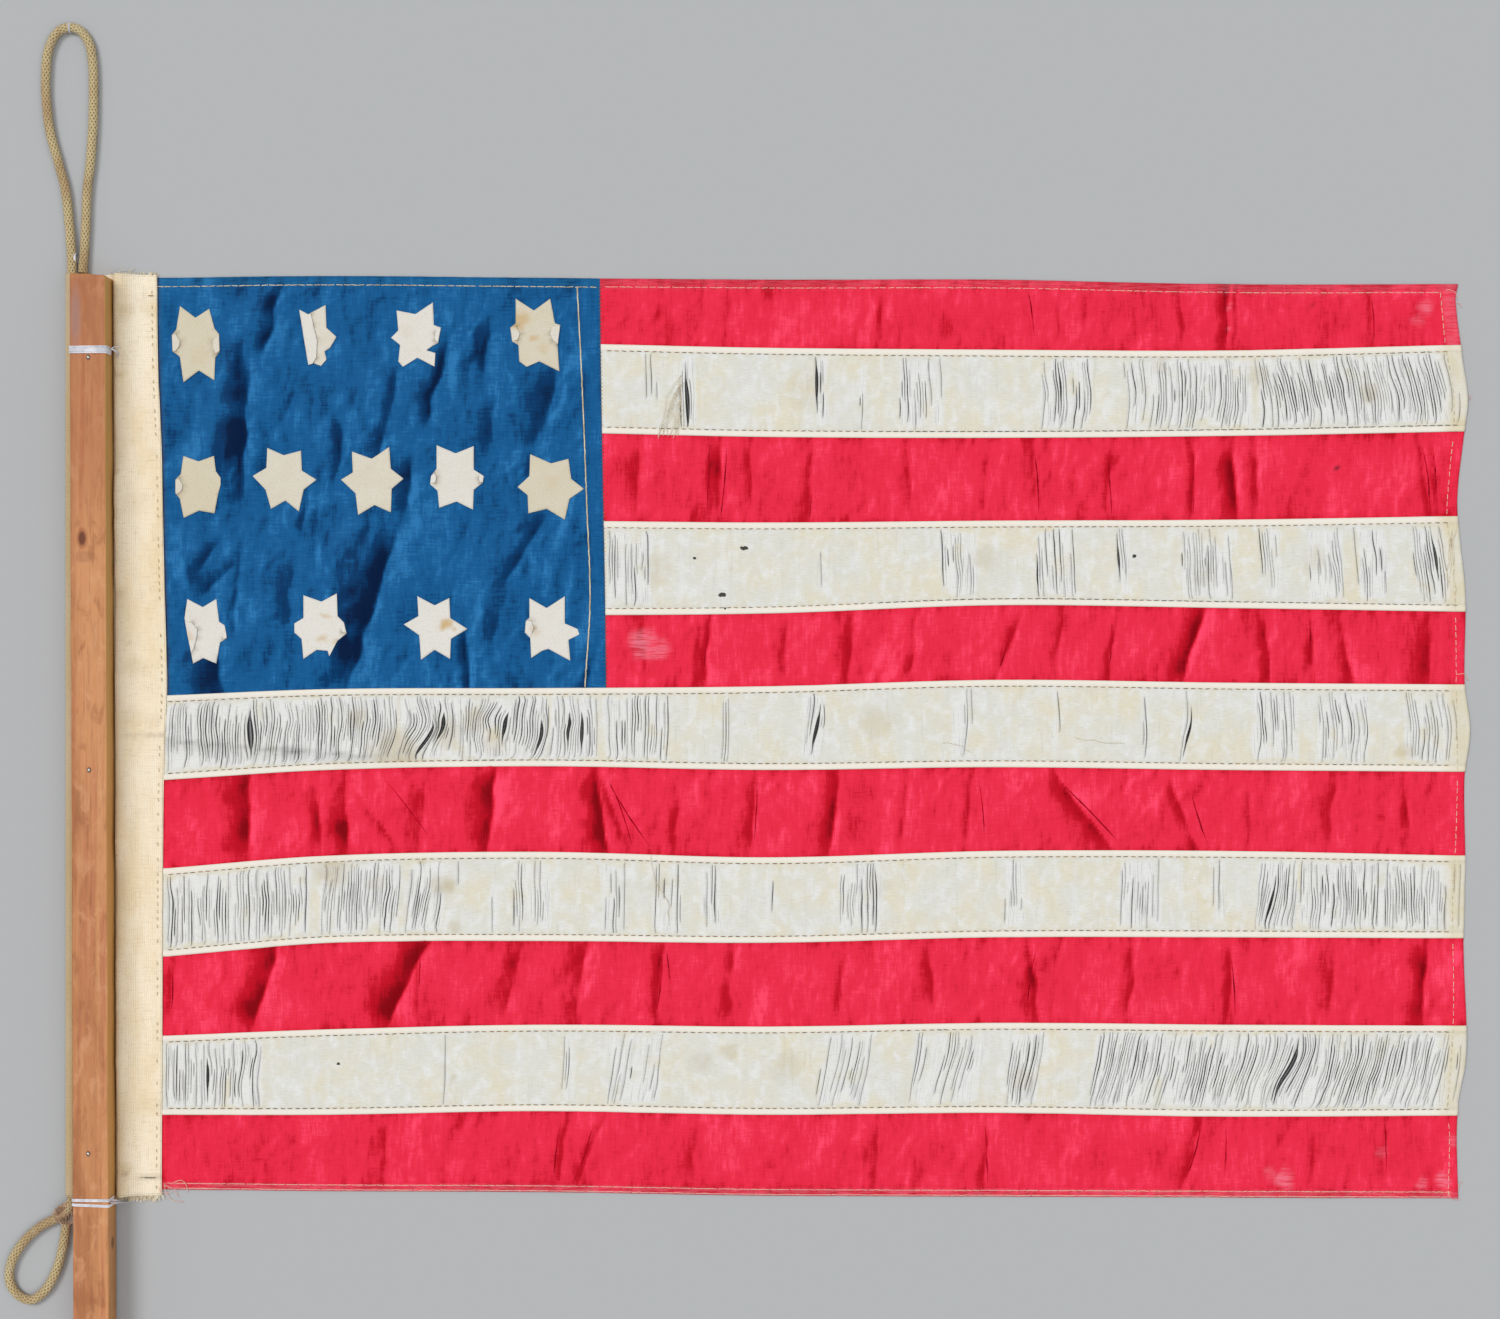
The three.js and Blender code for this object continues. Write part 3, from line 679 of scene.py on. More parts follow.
def makeDyedSilk(name, dyeAndShade):
    # satin-faced silk: painted shade and highlight from the way the cloth turns to the light, over colour
    # that has run unevenly
    material, tree, shader = newMaterial(name, 0.5, 0.045, 0.0)
    tone = attributeOf(tree, "turn")
    warp = noiseOf(tree, (480, 60, 30), 4, 0.62)
    weft = noiseOf(tree, (90, 900, 30), 3, 0.6)
    mottled = noiseOf(tree, (190, 110, 30), 4, 0.6, 0.6)
    cloudy = noiseOf(tree, (42, 30, 30), 4, 0.6)
    fineWarp = noiseOf(tree, (2600, 150, 30), 2, 0.7)
    fineWeft = noiseOf(tree, (150, 2600, 30), 2, 0.7)
    textures = (
        (warp, 0.5), (weft, dyeAndShade["slub"]), (mottled, 0.4), (cloudy, 0.3), (fineWarp, 0.5), (fineWeft, 0.42),
    )
    for texture, strength in textures:
        part = combine(tree, "MULTIPLY", combine(tree, "SUBTRACT", texture, 0.5), strength)
        tone = combine(tree, "ADD", tone, part)
    # painted shade and highlight from the turn of the cloth, with the silk's own uneven tone added in
    colour = overlaid(tree, fromScreen(*dyeAndShade["main"]), (
        (tone, 0.0, 0.34, 1, dyeAndShade["light"]),
        (tone, -0.02, -0.4, 1, dyeAndShade["dark"]),
        (tone, -0.4, -0.9, 1, dyeAndShade["deep"]),
    ))
    worn = combine(tree, "MULTIPLY", attributeOf(tree, "faded"), gauge(tree, weft, 0.36, 0.6, 0.25, 1))
    colour = blend(tree, worn, colour, fromScreen(*dyeAndShade["faded"]))
    # dirt spots on the red; painted shadow along the heading's edge on the blue
    colour = blend(tree, attributeOf(tree, "grimeAndShading"), colour, fromScreen(60, 25, 30))
    tree.links.new(colour, shader.inputs["Base Color"])
    tree.links.new(gauge(tree, warp, 0.3, 0.7, 0.42, 0.56), shader.inputs["Roughness"])
    relief = bumpOf(tree, warp, 0.22, bumpOf(tree, weft, 0.06))
    woven = plainWeave(tree, silkWeave["threads"], silkWeave["relief"], relief)
    tree.links.new(woven, shader.inputs["Normal"])
    return material


def makeWhiteSilk():
    # ivory where sound and hemmed, bluish where it has thinned, stained tan, with painted shade in hairline
    # splits, along its splits, in its openings, in the hem grooves and along a crease
    material, tree, shader = newMaterial("shattered white silk", 0.6, 0.15, 0.1)
    uv = uvOf(tree, "threads")
    wear = attributeOf(tree, "wear")
    warp = noiseOf(tree, (420, 30, 1), 4, 0.65, source=uv)
    fine = noiseOf(tree, (1700, 38, 1), 2, 0.6, source=uv)
    gathered = noiseOf(tree, (95, 60, 1), 3, 0.6, source=uv)
    crossing = noiseOf(tree, (190, 2200, 1), 2, 0.7, source=uv)
    cloudy = noiseOf(tree, (36, 34, 30), 4, 0.6)
    mottled = noiseOf(tree, (150, 110, 30), 4, 0.6, 0.5)
    ragged = noiseOf(tree, (700, 1100, 30), 3)
    thinned = combine(tree, "ADD", wear, combine(tree, "SUBTRACT", gathered, 0.55))
    colour = overlaid(tree, fromScreen(216, 216, 208), (
        (cloudy, 0.36, 0.72, 1, (220, 213, 190)),
        (mottled, 0.42, 0.74, 0.8, (228, 230, 230)),
        (thinned, 0.1, 0.6, 0.85, (226, 227, 226)),
    ))
    stain = combine(tree, "MULTIPLY", attributeOf(tree, "stain"), gauge(tree, cloudy, 0.3, 0.7, 0.55, 1))
    colour = blend(tree, stain, colour, fromScreen(176, 158, 112))
    # painted shade in hairline splits where the silk has thinned
    streak = combine(tree, "MULTIPLY", gauge(tree, fine, 0.56, 0.62), gauge(tree, thinned, 0.2, 0.8, 0, 0.45))
    colour = blend(tree, streak, colour, fromScreen(96, 98, 98))
    colour = overlaid(tree, colour, (
        (warp, 0.55, 0.75, 0.22, (168, 168, 156)), (crossing, 0.48, 0.7, 0.3, (178, 176, 162)),
    ))
    # painted shade, near black, along the edges of the splits and in the openings
    edge = combine(tree, "SUBTRACT", combine(tree, "FRACT", attributeOf(tree, "strand")), 0.5)
    edge = gauge(tree, combine(tree, "ABSOLUTE", edge), 0.35, 0.43)
    split = combine(tree, "MULTIPLY", edge, attributeOf(tree, "slit"))
    split = combine(tree, "MULTIPLY", split, gauge(tree, gathered, 0.36, 0.6, 0.45, 1))
    colour = blend(tree, split, colour, fromScreen(14, 14, 16))
    colour = overlaid(tree, colour, ((attributeOf(tree, "openingShade"), 0.42, 0.6, 0.96, (8, 8, 9)),))
    colour = blend(tree, attributeOf(tree, "hem"), colour, fromScreen(236, 230, 218))
    for x, y, width, height in darkSpecks:
        speck = spotOf(tree, (x, y, 1), (width, height, 6))
        speck = combine(tree, "ADD", speck, gauge(tree, ragged, 0.3, 0.7, -0.3, 0.25))
        colour = overlaid(tree, colour, ((speck, 0.34, 0.5, 0.95, (38, 34, 28)),))
    aged = combine(tree, "MULTIPLY", attributeOf(tree, "aged"), gauge(tree, cloudy, 0.35, 0.65, 0.5, 1))
    colour = blend(tree, aged, colour, fromScreen(212, 198, 160))
    # painted shade in the hem grooves and along the crease
    colour = blend(tree, attributeOf(tree, "grimeAndShading"), colour, fromScreen(26, 22, 18))
    tree.links.new(colour, shader.inputs["Base Color"])
    tree.links.new(gauge(tree, warp, 0.3, 0.7, 0.5, 0.7), shader.inputs["Roughness"])
    weft = noiseOf(tree, (150, 2400, 1), 2, 0.7, source=uv)
    relief = bumpOf(tree, fine, 0.1, bumpOf(tree, warp, 0.15, bumpOf(tree, weft, 0.05)))
    tree.links.new(relief, shader.inputs["Normal"])
    return material


redSilk = makeDyedSilk("red silk", redDyeAndShade)
blueSilk = makeDyedSilk("blue silk", blueDyeAndShade)
whiteSilk = makeWhiteSilk()


# Stripes

stripes = {
    "thickness": 0.24,
    "last": len(seams) - 2,  # stripes are counted from 0 at the top edge, red first
    "mostWorn": 5,
    "hemWidth": 3.5,
    "rowStep": 2.1,
    "stitch": 4.1,  # from one stitch to the next
    # lap is how far red silk runs on under the white
    "red": {"material": redSilk, "level": 0.30, "column": 1.4, "lap": 4.0},
    "white": {"material": whiteSilk, "level": 0.66, "column": 1.45, "lap": 0},
}

# where each white stripe has thinned and split: from, to, how far gone, and its lean
whiteWear = [
    [(-65, -56, 0.35, 0), (-47, -40, 0.8, 0), (27, 33, 0.8, 0), (50, 54, 0.5, 0), (72, 98, 0.6, 0),
     (119, 124, 0.4, 0), (150, 178, 0.85, 0.05), (198, 266, 0.8, 0.05), (270, 374, 0.95, -0.12),
     (378, 388, 0.5, 0)],
    [(-88, -64, 0.75, 0), (-50, -46, 0.4, 0), (-27, -22, 0.5, 0), (31, 35, 0.4, 0), (95, 115, 0.7, 0),
     (148, 170, 0.7, 0), (193, 199, 0.7, 0), (228, 255, 0.8, 0), (272, 283, 0.6, 0), (297, 316, 0.8, 0),
     (325, 340, 0.7, 0), (356, 375, 0.85, -0.05)],
    [(-330, -205, 0.95, 0.05), (-203, -178, 1, 0.1), (-178, -160, 0.7, 0), (-160, -122, 1, 0.12),
     (-120, -95, 0.85, 0), (-90, -56, 0.7, 0), (-26, -21, 0.4, 0), (19, 30, 0.75, 0.1),
     (101, 110, 0.7, 0.1), (131, 135, 0.5, 0), (156, 160, 0.5, 0), (205, 210, 0.4, 0),
     (227, 232, 0.75, 0.1), (266, 292, 0.7, 0), (302, 330, 0.7, -0.05), (350, 376, 0.75, -0.05)],
    [(-330, -252, 0.85, 0), (-246, -203, 0.95, 0.05), (-198, -178, 0.9, 0.1), (-174, -170, 0.4, 0),
     (-152, -148, 0.7, 0), (-140, -119, 0.6, 0), (-92, -78, 0.5, 0), (-63, -47, 0.6, 0),
     (-38, -25, 0.6, 0), (-2, 4, 0.5, 0), (39, 63, 0.65, 0), (131, 142, 0.6, 0), (167, 171, 0.4, 0),
     (193, 217, 0.7, 0), (225, 229, 0.5, 0), (245, 252, 0.5, 0), (269, 291, 0.95, 0.1),
     (293, 375, 0.85, 0), (378, 388, 0.5, 0)],
    [(-330, -278, 0.9, 0), (-179, -175, 0.6, 0), (-112, -105, 0.5, 0.05), (-88, -58, 0.6, 0.15),
     (28, 57, 0.55, 0.15), (80, 118, 0.55, 0.15), (132, 154, 0.8, 0.1), (179, 374, 0.95, 0.16),
     (377, 388, 0.6, 0)],
]
# wide openings where threads have been pushed aside: x, y, width, length, lean
openings = [
    (-42.3, 236, 2.2, 38, -3), (-286, 54, 4.2, 27, -10), (29.5, 246, 1.6, 30, 0),
    (-190, 50, 2.4, 24, 14), (-183, 57, 2.2, 20, 14), (-145, 58, 1.8, 20, 12), (-128, 52, 2.0, 24, 12),
    (-112, 56, 1.8, 22, 0), (-105, 55, 2.0, 24, 0), (24, 56, 1.8, 28, 10), (285.6, -132, 3.2, 36, 12),
    (277, -40, 1.4, 30, 8), (194, 150, 1.2, 24, 0), (-308, -135, 1.4, 26, 0), (161, 243, 1.2, 28, 0),
    (369, 150, 1.6, 26, -4), (150, 140, 1.0, 24, 0), (229, 54, 1.2, 26, 10),
]
# stains on the white silk, then rubbed and dirty spots on the red: x, y, radius, strength
stainSpots = [
    (-37, -128, 9, 0.5), (-20, -122, 7, 0.35), (10, -130, 12, 0.25), (-252, 2, 3, 0.4),
    (330, 242, 8, 0.5), (215, 256, 6, 0.4), (270, 250, 9, 0.35), (-180, -30, 8, 0.4),
    (-172, -52, 5, 0.5), (-60, -30, 7, 0.3), (120, 150, 10, 0.3), (20, 243, 14, 0.2),
    (300, 150, 10, 0.3), (-176, 54, 12, 0.35), (-150, 49, 10, 0.3), (60, 60, 14, 0.25),
    (-240, -22, 13, 0.5), (-176, -30, 7, 0.6), (-206, 41, 20, 0.55), (-160, 62, 9, 0.5),
    (-225, 62, 8, 0.4), (-215, -30, 6, 0.35), (-190, -17, 4, 0.4), (-172, -137, 2.5, 0.5),
    (-60, 144, 12, 0.25), (240, 140, 9, 0.3), (350, 44, 8, 0.35), (60, -30, 10, 0.2),
    (140, -136, 10, 0.3),
]
fadedSpots = [
    (-68, 103, 11, 0.7), (-60, 100, 8, 0.6), (362, 288, 6, 0.55), (358, 280, 5, 0.3),
    (284, -191, 7, 0.6), (276, -188, 4, 0.4), (372, -192, 6, 0.7), (360, -194, 5, 0.5),
    (376, -170, 4, 0.4), (253, 288, 2.5, 0.5), (252, 276, 2, 0.4), (337, -176, 4, 0.3),
]
dirtySpots = [(313.3, 199.7, 1.8, 0.8), (300, 290, 2.5, 0.3)]
# where the loosened threads have been drawn into bows: x, y, radius, pull towards the fly
drawnSpots = [
    (-190, 55, 15, 1.0), (-212, 38, 9, -0.6), (-154, 58, 13, -0.7), (-134, 54, 13, 1.0),
    (-246, -22, 15, 0.5), (-200, -30, 14, 0.6), (-320, 38, 14, 0.5), (-258, 38, 13, 0.5),
    (310, -134, 16, 0.5), (340, -120, 14, -0.4),
]


def wearAlong(x, zones):
    wear = np.zeros(np.shape(x))
    lean = np.zeros(np.shape(x))
    for start, end, amount, slant in zones:
        inside = eased(x, start - 2, start + 2) * (1 - eased(x, end - 2, end + 2))
        wear = np.maximum(wear, amount * inside)
        lean += slant * eased(x, start - 7, start + 7) * (1 - eased(x, end - 7, end + 7))
    return wear, lean


def cutSlits(columns, rows, columnX, zones, dice):
    # slits along the threads, most where the silk is furthest gone
    wear, _ = wearAlong(columnX, zones)
    first, last = 5, rows - 5
    slits = {}
    for column in range(2, columns - 1):
        if dice.random() > 0.95 * wear[column]:
            continue
        reach = (last - first) * (0.8 - 0.35 * wear[column])
        low = first + int(dice.random() ** 1.7 * reach)
        high = last - int(dice.random() ** 1.7 * reach)
        if high - low > 2:
            wide = 0.05 + 0.5 * dice.random() ** 2.4 * wear[column]
            slits[column] = [(low, high, wide)]
    return slits


def pushAside(column, y, side, opening, columnX):
    # threads bunched away from an opening's own column, and leant with it; also how much painted shade that
    # column takes
    atX, atY, wide, long, lean = opening
    own = int(np.abs(columnX - atX).argmin())
    across = columnX[column] - columnX[own]
    taper = np.maximum(1 - (2 * (y - atY) / long) ** 2, 0)
    width = wide / 2 * taper**0.8
    way = np.where(column == own, 0.25 * side, np.sign(across))
    leant = math.tan(math.radians(lean)) * (y - atY) * np.exp(-((1.6 * (y - atY) / long) ** 2))
    paintedOpeningShade = (column == own) * taper * min(1, 0.42 + 0.25 * wide)
    return (way * width + leant) * np.exp(-np.abs(across) / (4 + wide)), paintedOpeningShade


def loosenedThreads(number, x, y, wear):
    # how far each loosened thread has been drawn towards the fly
    bowed = np.zeros(len(x))
    for atX, atY, across, pull in drawnSpots:
        bowed += 3 * pull * hill(x, atX, across) * hill(y, atY, 0.8 * across)
    looseness = 1.3 + 1.1 * (number == stripes["mostWorn"]) * (1 - eased(x, -110, -60))
    bunched = 0.7 * wander(x / 3, y / 10, 100 + number)
    return wear * (looseness * wander(x / 22, y / 20, 80 + number) + bunched + bowed)


def fadedRed(number, x, y):
    # rubbed spots, then the edges of the first stripe and the hem of the last
    faded = spots(x, y, fadedSpots)
    if number == 0:
        faded = np.maximum(faded, 0.35 * eased(x, flyEdge(y) - 9, flyEdge(y) - 6))
        faded = np.maximum(faded, 0.22 * eased(y, seams[0](x) - 5.5, seams[0](x) - 4.5))
    if number == stripes["last"]:
        aboveHem = y - seams[-1](x)
        faded = np.maximum(faded, 0.55 * (1 - eased(aboveHem, 0.6, 1.4)))
        faded = np.maximum(faded, 0.3 * (1 - eased(aboveHem, 3.4, 4.2)))
    return faded


def creaseShadeBand(x, y):
    # painted shade of a crease pressed slantwise across the hoist end of the most worn stripe: a dark line,
    # with fainter shade below it
    pressed = y - 49.4 + 0.075 * (x + 330) - 1.2 * wander(x / 25, y / 90, 44)
    uneven = 0.3 + 0.22 * wander(x / 9, y / 9, 45)
    band = hill(pressed, 0, 1.1) + 0.55 * hill(pressed, -2.2, 3.2)
    return uneven * band * (1 - eased(x, -262, -190))


def makeStripe(number):
    colour = ("red", "white")[number % 2]
    kind = stripes[colour]
    order = str(number // 2 + 1)
    left = shifted(cantonEdge, 0.3) if number < stripesBesideCanton else shifted(headingEdge, -6)
    lap = kind["lap"]
    lower = shifted(seams[number + 1], -lap if number < stripes["last"] else 0)
    upper = shifted(seams[number], lap if number > 0 else 0)
    height = float(upper(100) - lower(100))
    width = float(flyEdge(0) - left(0))
    columns = round(width / kind["column"])
    shares = hemmedRows(height, stripes["rowStep"], colour == "white")
    rows = len(shares) - 1
    name = colour + "Silk" + order
    if colour == "red":
        mesh, column, row = gridMesh(name, columns, rows)
    else:
        dice = random.Random(40 + number)
        columnX = left(0) + np.arange(columns + 1) / columns * width
        zones = whiteWear[number // 2]
        slits = cutSlits(columns, rows, columnX, zones, dice)
        near = [opening for opening in openings if lower(opening[0]) < opening[1] < upper(opening[0])]
        for atX, atY, _, long, _ in near:
            middle = np.interp((atY - lower(atX)) / height, shares, range(rows + 1))
            reach = long / 2 / stripes["rowStep"]
            ends = (max(5, int(middle - reach)), min(rows - 5, int(middle + reach) + 1))
            slits[int(np.abs(columnX - atX).argmin())] = [(*ends, 0.1)]
        mesh, column, row, side, gape = slitMesh(name, columns, rows, slits)
    u, v = column / columns, np.interp(row, range(rows + 1), shares)
    x, y = layPanel(u, v, left, flyEdge, lower, upper)
    z = clothLift(x, y) + kind["level"]
    fromEdge = np.minimum(v, 1 - v) * height
    if colour == "red":
        fromSeam = np.maximum(fromEdge - lap, 0)
        pucker = 0.4 * wander(x / 2.4, y / 30, 70 + number) * np.exp(-fromSeam / 6) * eased(fromSeam, 0, 1.5)
        z += np.maximum(pucker, -0.08)
        # painted shade and highlight: the way the silk turns, lighter on raised puckers, darker along the
        # seams under the white
        addAttribute(mesh, "turn", clothTurn(x, y) + 0.5 * pucker - 0.25 * np.exp(-fromSeam / 1.2))
        addAttribute(mesh, "faded", fadedRed(number, x, y))
        addAttribute(mesh, "grimeAndShading", spots(x, y, dirtySpots))
    else:
        wear, lean = wearAlong(x, zones)
        inner = eased(fromEdge, 3.6, 8)
        patchy = wander(x / 8, y / 9, 60 + number) + 0.5 * wander(x / 3.5, y / 12, 30 + number)
        wear = wear * inner * np.clip(1.05 + 0.75 * patchy, 0.2, 1)
        groove = hill(fromEdge, stripes["hemWidth"], 0.55)
        dimples = 0.75 + 0.25 * np.cos(2 * math.pi * x / stripes["stitch"])
        z += 0.26 * hill(fromEdge, 1.7, 1.3) - 0.14 * groove * dimples
        addUv(mesh, "threads", x * mm, y * mm)
        tilt = lean * (y - (lower(x) + height / 2)) * (1 - eased(x, flyEdge(y) - 14, flyEdge(y) - 2))
        x = x + gape + loosenedThreads(number, x, y, wear) + tilt
        gap = np.zeros(len(x))
        for opening in near:
            pushed, paintedOpeningShade = pushAside(column, y, side, opening, columnX)
            x = x + pushed
            gap = np.maximum(gap, paintedOpeningShade)
        lifts = [np.array([dice.uniform(-0.05, 0.3) for _ in range(columns + 1)]) for _ in range(2)]
        strand = np.where(side > 0, lifts[1][column], lifts[0][column])
        z += np.maximum(strand * wear * inner, -0.05)
        # painted shade in the hem grooves, and along a crease across the most worn stripe
        grimeAndShading = groove * 0.12
        if number == stripes["mostWorn"]:
            grimeAndShading = np.maximum(grimeAndShading, creaseShadeBand(x, y))
        hem = 1 - eased(fromEdge, stripes["hemWidth"] - 0.3, stripes["hemWidth"] + 0.5)
        addAttribute(mesh, "wear", wear)
        addAttribute(mesh, "hem", 0.85 * hem)
        addAttribute(mesh, "stain", spots(x, y, stainSpots))
        addAttribute(mesh, "aged", 0.6 * eased(x, flyEdge(y) - 16, flyEdge(y) - 5))
        addAttribute(mesh, "slit", np.abs(side) * np.clip(np.abs(gape) * 5 + 0.3 + gap, 0, 1))
        addAttribute(mesh, "strand", column)
        addAttribute(mesh, "openingShade", gap)
        addAttribute(mesh, "grimeAndShading", grimeAndShading)
    writePoints(mesh, x, y, z)
    piece = addPiece(name, mesh, kind["material"], [colour + "_stripe_" + order])
    addThickness(piece, stripes["thickness"])


for number in range(stripes["last"] + 1):
    makeStripe(number)
print("stripes sewn")


# Canton

canton = {
    "size": (256, 234), "pitch": 1.7,  # the panel and the points on it
    "thickness": 0.24, "level": 0.22, "underStripes": 4.0, "hem": 5.0,
    "crinkleShade": 1.1, "foldShade": 1.25,
}


def makeCanton():
    left = shifted(headingEdge, -6)
    right = shifted(cantonEdge, canton["underStripes"])
    lower = shifted(seams[stripesBesideCanton], -canton["underStripes"])
    upper = seams[0]
    columns, rows = (round(side / canton["pitch"]) for side in canton["size"])
    mesh, column, row = gridMesh("cantonSilk", columns, rows)
    x, y = layPanel(column / columns, row / rows, left, right, lower, upper)
    fromTop = seams[0](x) - y
    beyondStitch = x - cantonStitch(y)
    flat = eased(beyondStitch, -1, 3)
    # painted shade and highlight from the way the silk turns, weaker beyond the stitch line
    turn = clothTurn(x, y, canton["crinkleShade"], canton["foldShade"]) * (1 - 0.6 * flat)
    pucker = 0.35 * wander(x / 2.6, y / 30, 91) * np.exp(-np.maximum(fromTop - canton["hem"], 0) / 7)
    pull = 0.4 * wander(x / 12, y / 4, 92) * np.exp(-np.abs(beyondStitch) / 6)
    tucked = eased(x - cantonEdge(y), -0.8, 0.3)
    z = clothLift(x, y) + canton["level"] + np.maximum(pucker + pull, -0.1) * (1 - tucked)
    z -= 0.25 * hill(beyondStitch, 0, 0.9) + 0.3 * tucked
    z = np.maximum(z, 0.13)
    writePoints(mesh, x, y, z)
    # painted shade beside the stitch line and where the canton runs under the stripes
    turn = turn - 0.1 * hill(beyondStitch, 1.2, 1.0) - 0.12 * eased(x, cantonEdge(y) - 1, cantonEdge(y))
    addAttribute(mesh, "turn", turn)
    hemmed = 0.35 * (1 - eased(fromTop, canton["hem"] - 0.4, canton["hem"] + 0.6))
    addAttribute(mesh, "faded", np.maximum(hemmed, 0.3 * (1 - eased(x, headingEdge(y), headingEdge(y) + 4))))
    # painted shadow under and along the heading's edge
    addAttribute(mesh, "grimeAndShading", 0.9 * (1 - eased(x - headingEdge(y), 0.1, 1.1)))
    piece = addPiece("cantonSilk", mesh, blueSilk, ["canton"])
    addThickness(piece, canton["thickness"])


makeCanton()
print("canton sewn")


# Stars: each cut by hand, with its outline and turned-back tips about its own middle

